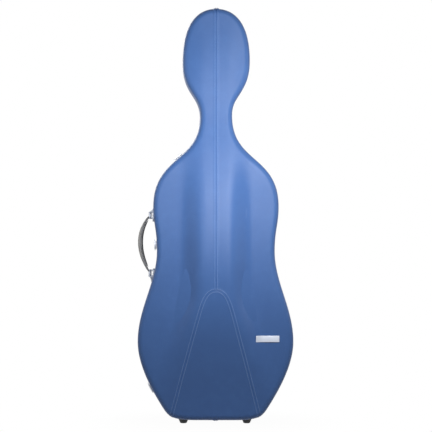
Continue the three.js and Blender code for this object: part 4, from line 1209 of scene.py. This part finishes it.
for where in ("lid", "body", "back_lower", "back_upper"):
    down = toBack if where.startswith("back") else Vector((0, 0, -1))
    for side in ("left", "right"):
        foot = "foot_" + where + "_" + side
        piece = rounded(foot, "moulded", rubber, footLook["edge"], segments=3)
        recess(piece, down)
        middle = sum(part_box(foot), Vector()) / 2
        below = middle + down * (footLook["screwFrom"] * mm)
        fasteners(foot + "_screw", piece, [(below, -down)], screwLook, bodyOf(foot))
print("feet fitted")

# strap plates and rings on the back

strapRivets = {"across": 17.5, "behind": 30}
for where in ("top", "left", "right"):
    node, plateNode = "strap_ring_" + where, "strap_plate_" + where
    plate = rounded(plateNode, "pressed", satinMetal, edge=0.5)
    wire = copyOf(node, node + "_wire")
    subdivided(wire)
    settle(wire, steel, node, [node], angle=60)
    low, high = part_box("strap_plate_" + where)
    middle = (low + high) / 2
    behind = high.y + strapRivets["behind"] * mm
    spots = [(Vector((middle.x + side * strapRivets["across"] * mm, behind, middle.z)), toFront)
             for side in (-1, 1)]
    fasteners(plateNode + "_rivets", plate, spots, rivetLook, "case_body")
print("strap rings fitted")

# name plate, left bare

rounded("name_plate", "brushed", plateMetal, edge=0.5, segments=3)

# handle

handle = {
    "axis": 214.016, "back": 22, "upper": 676, "lower": 486, "bow": 45.5, "upperBow": 627, "lowerBow": 554,
    "width": 26, "thickness": 11.5, "endWidth": 8, "endThickness": 5, "start": 0.012, "squareness": 0.62,
    "steps": 72, "sides": 28, "underWidth": 18, "underThickness": 4.8, "underStart": 0.08, "underSteps": 48,
    "underSides": 20, "underSquareness": 0.5, "gap": 0.3,
    "eye": 5, "eyeHalf": 5.7, "eyeEdge": 0.8, "eyeSides": 28, "bore": 2.3,
}


def handlePoint(t):
    # a place along the handle's bow, and the way out from the case there
    curve = [(0, handle["upper"]), (handle["bow"], handle["upperBow"]), (handle["bow"], handle["lowerBow"]),
             (0, handle["lower"])]
    out, height = bezier(curve, t)
    dOut, dHeight = bezierSlope(curve, t)
    run = Vector((-dOut, 0, dHeight)).normalized()
    place = Vector((-handle["axis"] - out, handle["back"], height)) * mm
    outward = toBack.cross(run).normalized()
    return place, (outward if outward.x <= 0 else -outward)


def gripSize(t):
    swell = math.sin(math.pi * t)
    width = handle["endWidth"] + (handle["width"] - handle["endWidth"]) * swell
    thickness = handle["endThickness"] + (handle["thickness"] - handle["endThickness"]) * swell
    return width, thickness


endRounding = (0.0, 0.55, 0.8, 0.93)     # the sizes of a bar's last sections, which close its end


def sweptBar(name, start, steps, sides, sectionAt):
    # along the handle's bow, from a share of its length to as near its other end. A section is half its width
    # and thickness, its squareness, and how far in from the bow's middle it lies
    rows = []
    for i, t in enumerate(evenly(start, 1 - start, steps)):
        place, outward = handlePoint(t)
        half, squareness, under = sectionAt(t)
        fromEnd = min(i, steps - i)
        shrink = endRounding[fromEnd] if fromEnd < len(endRounding) else 1.0
        row = []
        for angle in circle(sides):
            across, off = superPoint(angle, half, squareness)
            row.append(place + Vector((0, across * shrink * mm, 0)) + outward * ((off * shrink - under) * mm))
        rows.append(row)
    return lofted(name, rows)


def gripSection(t):
    width, thickness = gripSize(t)
    return (width / 2, thickness / 2), handle["squareness"], 0


def underSection(t):
    _, thickness = gripSize(t)
    share = (t - handle["underStart"]) / (1 - 2 * handle["underStart"])
    full = math.sin(math.pi * min(max(share, 0), 1))
    half = (handle["underWidth"] / 4 * (1 + full), handle["underThickness"] / 4 * (1 + math.sqrt(full)))
    return half, handle["underSquareness"], thickness / 2 + handle["gap"] + half[1]


def eyeShape(name, height):
    # a bored end that turns on the handle's pin
    bore, rim, top, edge = handle["bore"], handle["eye"], handle["eyeHalf"], handle["eyeEdge"]
    profile = [(bore, -top), (rim - edge, -top), (rim, -top + edge),
               (rim, top - edge), (rim - edge, top), (bore, top)]
    middle = Vector((-handle["axis"], handle["back"], height))
    rows = [[(middle + Vector((radius * math.cos(a), radius * math.sin(a), high))) * mm
             for a in circle(handle["eyeSides"])] for radius, high in profile + profile[:1]]
    return settle(lofted(name, rows), satinMetal, "handle", angle=30)


grip = sweptBar("handle_grip_leather", handle["start"], handle["steps"], handle["sides"], gripSection)
settle(grip, gripLeather, "handle", ["handle_grip"], angle=50)
for end in ("upper", "lower"):
    eyeShape("handle_eye_" + end, handle[end])
under = sweptBar("handle_underside_pad", handle["underStart"], handle["underSteps"], handle["underSides"],
                 underSection)
settle(under, gripRubber, "handle", ["handle_underside"], angle=50)

gripTree = skinTree(grip)
gripStitch = {"length": 3.4, "width": 0.9, "height": 0.45, "pitch": 4.6, "rows": (0.0,), "rise": 0.1,
              "start": 0.06, "steps": 60, "inward": 0.16}
for edge, side in (("front", -1), ("back", 1)):
    path = []
    for t in evenly(gripStitch["start"], 1 - gripStitch["start"], gripStitch["steps"]):
        place, outward = handlePoint(t)
        width, thickness = gripSize(t)
        inward = outward * (thickness * gripStitch["inward"] * mm)
        path.append(place + Vector((0, side * width * 0.5 * mm, 0)) - inward)
    path = [onSkin(gripTree, q)[0] for q in path]
    stitches("handle_stitches_" + edge, gripTree, path, gripStitch, "handle", gripThread)

# each bracket runs out in a sloped foot along the shell, and two screws hold its plate

footing = {"start": 9.0, "reach": {"upper": 25, "lower": -31}, "steps": 18, "sides": 24, "halfWidth": 6.0,
           "narrow": 0.45, "sunk": 1.5, "under": 1.0, "end": 0.9, "slope": 1.5, "squareness": 0.5,
           "firstRound": 0.9, "lastRound": 0.8, "screwOut": 10.6, "screwFrom": 60}


def bracketFoot(end):
    # from under the bracket's end down a slope to the shell, and narrower on the way
    bracketEdge = -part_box("handle_bracket_" + end)[0].x / mm
    reach = footing["reach"][end]
    way = math.copysign(1, reach)
    first, last = handle[end] + way * footing["start"], handle[end] + reach
    full = bracketEdge - footing["under"] - flankAt(first)
    steps = footing["steps"]
    rounding = {0: 0.0, 1: footing["firstRound"], steps - 1: footing["lastRound"], steps: 0.0}
    rows = []
    for i, t in enumerate(evenly(0, 1, steps)):
        z = first + (last - first) * t
        out = footing["end"] + (full - footing["end"]) * (1 - t) ** footing["slope"]
        half = ((out + footing["sunk"]) / 2, footing["halfWidth"] * (1 - footing["narrow"] * t))
        shrink = rounding.get(i, 1.0)
        middle = Vector((-flankAt(z) - out + half[0], handle["back"], z))
        row = []
        for angle in circle(footing["sides"]):
            off, across = superPoint(angle, half, footing["squareness"])
            row.append((middle + Vector((off * shrink, across * shrink, 0))) * mm)
        rows.append(row)
    piece = lofted("handle_bracket_" + end + "_foot", rows)
    return settle(piece, shadedCastMetal, "case_body", angle=50)


for end in ("upper", "lower"):
    name = "handle_bracket_" + end
    # the bracket takes the darker cast metal, which holds part of its shade painted in
    bracket = rounded(name, "cast", shadedCastMetal, edge=0.5)
    rounded("handle_pin_" + end, "rod", steel, edge=0.3)
    bracketFoot(end)
    outside = -handle["axis"] - footing["screwFrom"]
    across = [handle["back"] + side * footing["screwOut"] for side in (-1, 1)]
    spots = [(Vector((outside, y, handle[end])) * mm, Vector((1, 0, 0))) for y in across]
    fasteners(name + "_screws", bracket, spots, screwLook, "case_body")
print("handle made")


# cushions and holders inside

cushionDetail = {"voxel": 5.0, "shrink": 1.2, "frames": 20, "stiffness": 12, "bending": 0.6, "smoothing": 0.5,
                 "passes": 3}


def puffed(node, name, material, pressure, cap):
    # foam under cloth: the solid drawn in a little, then swollen under pressure and held to a cap
    piece = copyOf(node, name)
    modified(piece, "REMESH", mode="VOXEL", voxel_size=cushionDetail["voxel"] * mm)
    drawn = piece.data
    normals = [v.normal.copy() for v in drawn.vertices]
    for v, normal in zip(drawn.vertices, normals):
        v.co = v.co - normal * (cushionDetail["shrink"] * mm)
    start = [v.co.copy() for v in drawn.vertices]
    only(piece)
    bpy.ops.object.modifier_add(type="CLOTH")
    cloth = piece.modifiers[-1]
    cloth.settings.use_pressure = True
    cloth.settings.uniform_pressure_force = pressure
    cloth.settings.effector_weights.gravity = 0
    cloth.settings.tension_stiffness = cushionDetail["stiffness"]
    cloth.settings.compression_stiffness = cushionDetail["stiffness"]
    cloth.settings.bending_stiffness = cushionDetail["bending"]
    for step in range(1, cushionDetail["frames"] + 1):
        scene.frame_set(step)
    swollen = piece.evaluated_get(bpy.context.evaluated_depsgraph_get()).data
    moved = [v.co.copy() for v in swollen.vertices]
    piece.modifiers.remove(cloth)
    scene.frame_set(1)
    for v, begin, end in zip(drawn.vertices, start, moved):
        shift = end - begin
        if shift.length > cap * mm:
            shift = shift.normalized() * (cap * mm)
        v.co = begin + shift
    modified(piece, "SMOOTH", factor=cushionDetail["smoothing"], iterations=cushionDetail["passes"])
    subdivided(piece)
    settle(piece, material, "case_body", [node], angle=180)
    return piece


cushions = {
    "suspension_lower": {"cap": 3.6, "pressure": 4.0, "fill": 0.7},
    "suspension_upper": {"cap": 3.6, "pressure": 4.0, "fill": 0.7},
    "end_block": {"cap": 2.0, "pressure": 3.0, "fill": 0.9},
    "neck_cradle": {"cap": 2.0, "pressure": 3.0, "fill": 0.9},
}
pads = {node: puffed(node, node + "_cushion", padVelvet, look["pressure"], look["cap"])
        for node, look in cushions.items()}
print("cushions filled")


piping = {"inset": 5.5, "corner": 9, "cornerSteps": 8, "radius": 1.3, "sides": 8, "steps": 60, "lift": 0.3,
          "before": 20}


def closedCord(name, path):
    # a round cord laid along a path that comes back to its start
    count, radius, turns = len(path), piping["radius"] * mm, circle(piping["sides"])
    rows = []
    for i, place in enumerate(path):
        run = (path[(i + 1) % count] - path[i - 1]).normalized()
        side = run.cross(toBack).normalized()
        up = side.cross(run).normalized()
        rows.append([place + (side * math.cos(a) + up * math.sin(a)) * radius for a in turns])
    return lofted(name, rows + rows[:1])


def roundedLoop(halfWidth, halfHeight):
    # even places round a box with turned corners
    corner, steps = piping["corner"], piping["cornerSteps"]
    points = []
    for sideX, sideZ, start in ((1, 1, 0), (-1, 1, 90), (-1, -1, 180), (1, -1, 270)):
        x, z = sideX * (halfWidth - corner), sideZ * (halfHeight - corner)
        for a in map(math.radians, evenly(start, start + 90, steps)):
            points.append(Vector((x + corner * math.cos(a), 0, z + corner * math.sin(a))))
    path = [p for p, _ in spaced(points + points[:1], (2 * halfWidth + 2 * halfHeight) / piping["steps"])]
    return path[:-1]


for where in ("lower", "upper"):
    # a welt round the face of each back pad
    padTree = skinTree(pads["suspension_" + where])
    low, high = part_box("suspension_" + where)
    middle = (low + high) / 2
    halfX = (high.x - low.x) / 2 / mm - piping["inset"]
    halfZ = (high.z - low.z) / 2 / mm - piping["inset"]
    laid = []
    for p in roundedLoop(halfX, halfZ):
        # a swollen pad is rounder than its solid, so a corner that the ray passes takes the nearest cloth
        start = Vector((middle.x + p.x * mm, low.y - piping["before"] * mm, middle.z + p.z * mm))
        place = padTree.ray_cast(start, toBack)[0] or padTree.find_nearest(start)[0]
        laid.append(place + Vector((0, -piping["lift"] * piping["radius"] * mm, 0)))
    cord = closedCord("suspension_" + where + "_piping", laid)
    settle(cord, padPiping, "case_body", angle=60)
print("pads piped")

# neck strap: webbing with folded ends and a lap in the middle, each sewn with a crossed box

strap = {"half": 43, "width": 24, "back": 17.7, "height": 930, "thin": 1.5, "extra": 0.8, "fold": 16,
         "lap": 15, "ramp": 1.5, "steps": 86, "sides": 20, "scallop": 0.1, "scallopPace": 1.3,
         "endShrink": 0.9, "squareness": 0.3}
strapStitch = {"length": 2.4, "width": 0.8, "height": 0.4, "pitch": 3.0, "rows": (0.0,), "rise": 0.1}
strapBoxes = [(-30, -38, 8), (30, 38, 8), (-11, 11, 9)]     # start and end along the strap, and half height


def strapThickness(x):
    ends = min(max((abs(x) - strap["half"] + strap["fold"]) / strap["ramp"], 0), 1)
    lap = min(max((strap["lap"] - abs(x)) / strap["ramp"], 0), 1)
    return strap["thin"] + strap["extra"] * max(ends, lap)


def strapTape():
    steps, sides = strap["steps"], strap["sides"]
    rows = []
    for i, x in enumerate(evenly(-strap["half"], strap["half"], steps)):
        shrink = strap["endShrink"] if i in (0, steps) else 1.0
        thickness = strapThickness(x)
        halfWidth = strap["width"] / 2 - strap["scallop"] * (1 + math.cos(x * strap["scallopPace"]))
        half = (halfWidth * shrink, thickness / 2 * shrink)
        row = []
        for angle in circle(sides):
            across, off = superPoint(angle, half, strap["squareness"])
            row.append(Vector((x, strap["back"] - thickness / 2 + off, strap["height"] + across)) * mm)
        rows.append(row)
    first, last = ([sum(row, Vector()) / sides] * sides for row in (rows[0], rows[-1]))     # closes the ends
    piece = lofted("neck_strap_tape", [first] + rows + [last])
    return settle(piece, tapeCloth, "case_body", ["neck_strap"], angle=50)


tapeTree = skinTree(strapTape())


def onTape(x, z):
    return tapeTree.ray_cast(Vector((x, 0, strap["height"] + z)) * mm, toBack)[0]


def sewnBox(start, end, half, steps=8):
    # a box of stitches with a cross in it
    corners = [(start, -half), (end, -half), (end, half), (start, half)]
    places = []
    for a, b in ((0, 1), (1, 2), (2, 3), (3, 0), (0, 2), (1, 3)):
        (ax, az), (bx, bz) = corners[a], corners[b]
        path = [onTape(x, z) for x, z in zip(evenly(ax, bx, steps), evenly(az, bz, steps))]
        places += stitchPlaces(tapeTree, path, strapStitch)
    return places


def sewn(name, look, places, body):
    return settle(copies(name, stitchShape(look), places), padThread, body, angle=60)


boxPlaces = [place for box in strapBoxes for place in sewnBox(*box)]
sewn("neck_strap_stitches", strapStitch, boxPlaces, "case_body")
print("neck strap sewn")

# bow pockets: a cloth pouch on the lining, open below, with a bound mouth

pouch = {
    "across": 62, "low": 773, "high": 857, "half": 14.6, "flange": 17, "front": -80.4, "wall": 2.2,
    "dome": 22, "domePower": 2.4, "setBack": 1.2, "swell": 0.6, "flat": 1.7, "squareness": 0.42,
    "hem": 1.4, "hemFold": 0.8, "flangeEdge": 1.2, "flangeSlope": 0.3, "footIn": 1.0, "least": 0.2,
    "binding": 0.9, "bindingAt": 2.5, "bindingRun": 2.2, "steps": 42, "turns": 22,
}


def pouchFloor(x, z):
    # where the lid's lining lies under the pouch
    return -(lidDepth(x, z) - liningInset)


def pouchRow(side, z):
    # outer line from flange to flange over the pouch, and the inner line under it
    middle = side * pouch["across"]
    floor = pouchFloor(middle, z)
    top = min(max((z - pouch["high"] + pouch["dome"]) / pouch["dome"], 0), 1)
    shape = math.sqrt(max(1 - top ** pouch["domePower"], 0))
    swell = pouch["swell"] * math.sin(math.pi * min((z - pouch["low"]) / (pouch["high"] - pouch["low"]), 1))
    rise = max((pouch["front"] - pouch["setBack"] + swell - floor) * shape, pouch["flat"])
    bound = pouch["binding"] * math.exp(-((z - pouch["low"] - pouch["bindingAt"]) / pouch["bindingRun"]) ** 2)
    hem, half, wall = pouch["hem"], pouch["half"], pouch["wall"]
    flange = [(-pouch["flange"], 0.0), (-pouch["flange"] + pouch["flangeSlope"], pouch["flangeEdge"]),
              (-half - pouch["hemFold"], hem)]
    foot = [(-half + wall + pouch["footIn"], 0.0)] * 3
    outer, inner = list(flange), list(foot)
    for share in evenly(1, 0, pouch["turns"]):
        wide, high = superPoint(math.pi * share, (1, 1), pouch["squareness"])
        outer.append(((half + bound) * wide, hem + (rise - hem + bound) * high))
        inner.append(((half - wall) * wide, max(rise - wall, pouch["least"]) * high))
    outer += [(-x, h) for x, h in reversed(flange)]
    inner += [(-x, h) for x, h in reversed(foot)]

    def placed(line):
        return [Vector((middle + x, pouchFloor(middle + x, z) + h, z)) * mm for x, h in line]

    return placed(outer), placed(inner)


def bowPouch(side, name, node):
    rows = []
    for z in evenly(pouch["low"], pouch["high"], pouch["steps"]):
        outer, inner = pouchRow(side, z)
        rows.append(outer + inner[::-1])
    count = len(rows[0])
    faces = loftFaces(len(rows), count)
    for r, turned in ((0, True), (len(rows) - 1, False)):
        # the first and last row are closed with quads from the outer to the inner line
        for i in range(count // 2 - 1):
            quad = (r * count + i, r * count + i + 1, r * count + count - 2 - i, r * count + count - 1 - i)
            faces.append(quad if turned else quad[::-1])
    piece = meshObject(name, [p for row in rows for p in row], faces)
    only(piece)
    bpy.ops.object.mode_set(mode="EDIT")
    bpy.ops.mesh.select_all(action="SELECT")
    bpy.ops.mesh.normals_make_consistent(inside=False)
    bpy.ops.object.mode_set(mode="OBJECT")
    settle(piece, liningVelvet, "lid", [node], angle=60)
    return piece


pouchStitch = {"length": 2.6, "width": 0.8, "height": 0.4, "pitch": 3.4, "rows": (0.0,), "rise": 0.1}
pouchLines = {
    "fromEdge": 1.1, "sideStart": 3, "sideRun": 78, "sideSteps": 20, "mouthHalf": 11, "mouthAt": 6.5,
    "mouthSteps": 10,
}
for side, where in ((-1, "left"), (1, "right")):
    pocketPiece = bowPouch(side, "bow_pocket_" + where + "_pouch", "bow_pocket_" + where)
    pocketTree = skinTree(pocketPiece)
    middle = side * pouch["across"]

    def onPouch(x, z):
        place = pocketTree.ray_cast(Vector((middle + x, 0, z)) * mm, toFront)[0]
        return place or Vector((middle + x, pouchFloor(middle + x, z) + pouch["flangeEdge"], z)) * mm

    edge, mouthHalf = pouch["flange"] - pouchLines["fromEdge"], pouchLines["mouthHalf"]
    sideLow, mouthHeight = pouch["low"] + pouchLines["sideStart"], pouch["low"] + pouchLines["mouthAt"]
    sideHeights = evenly(sideLow, sideLow + pouchLines["sideRun"], pouchLines["sideSteps"])
    lines = [[onPouch(x, z) for z in sideHeights] for x in (-edge, edge)]
    lines.append([onPouch(x, mouthHeight) for x in evenly(-mouthHalf, mouthHalf, pouchLines["mouthSteps"])])
    places = [place for line in lines for place in stitchPlaces(pocketTree, line, pouchStitch)]
    sewn("bow_pocket_" + where + "_stitches", pouchStitch, places, "lid")
print("bow pockets sewn")

# bow clips: a turn button on a post, with ribs for the thumb and a screw

clip = {"across": 62, "height": 262, "ribs": (14.0, 17.0, 20.0), "edge": 1.4, "above": 50}
ribLook = {"length": 9.0, "width": 1.4, "height": 0.7}


def clipFrame(side):
    def at(dx, dz):
        x, z = side * clip["across"] + dx, clip["height"] + dz
        return Vector((x, -(lidDepth(x, z) - liningInset), z))

    alongX = (at(1, 0) - at(-1, 0)).normalized()
    facing = (at(0, 1) - at(0, -1)).cross(alongX).normalized()
    return frameOf(alongX, facing, alongX.cross(facing), at(0, 0) * mm), facing


for side, where in ((-1, "left"), (1, "right")):
    node = "bow_clip_" + where
    button = rounded(node, "button", rimPlastic, clip["edge"], segments=3)
    matrix, facing = clipFrame(side)

    def above(z):
        return matrix @ (Vector((0, clip["above"], z)) * mm)

    fasteners(node + "_screw", button, [(above(0), -facing)], screwLook, node)
    buttonTree = skinTree(button)
    places = []
    for z in clip["ribs"] + tuple(-z for z in clip["ribs"]):
        place, normal, _, _ = buttonTree.ray_cast(above(z), -facing)
        places.append(standing(place, matrix.to_3x3() @ Vector((1, 0, 0)), normal))
    settle(copies(node + "_ribs", stitchShape(ribLook), places), rimPlastic, node, angle=60)
print("bow clips turned")

for name, node in frame["nodes"].items():
    if not node.hide_render:
        print("still a plain solid:", name)
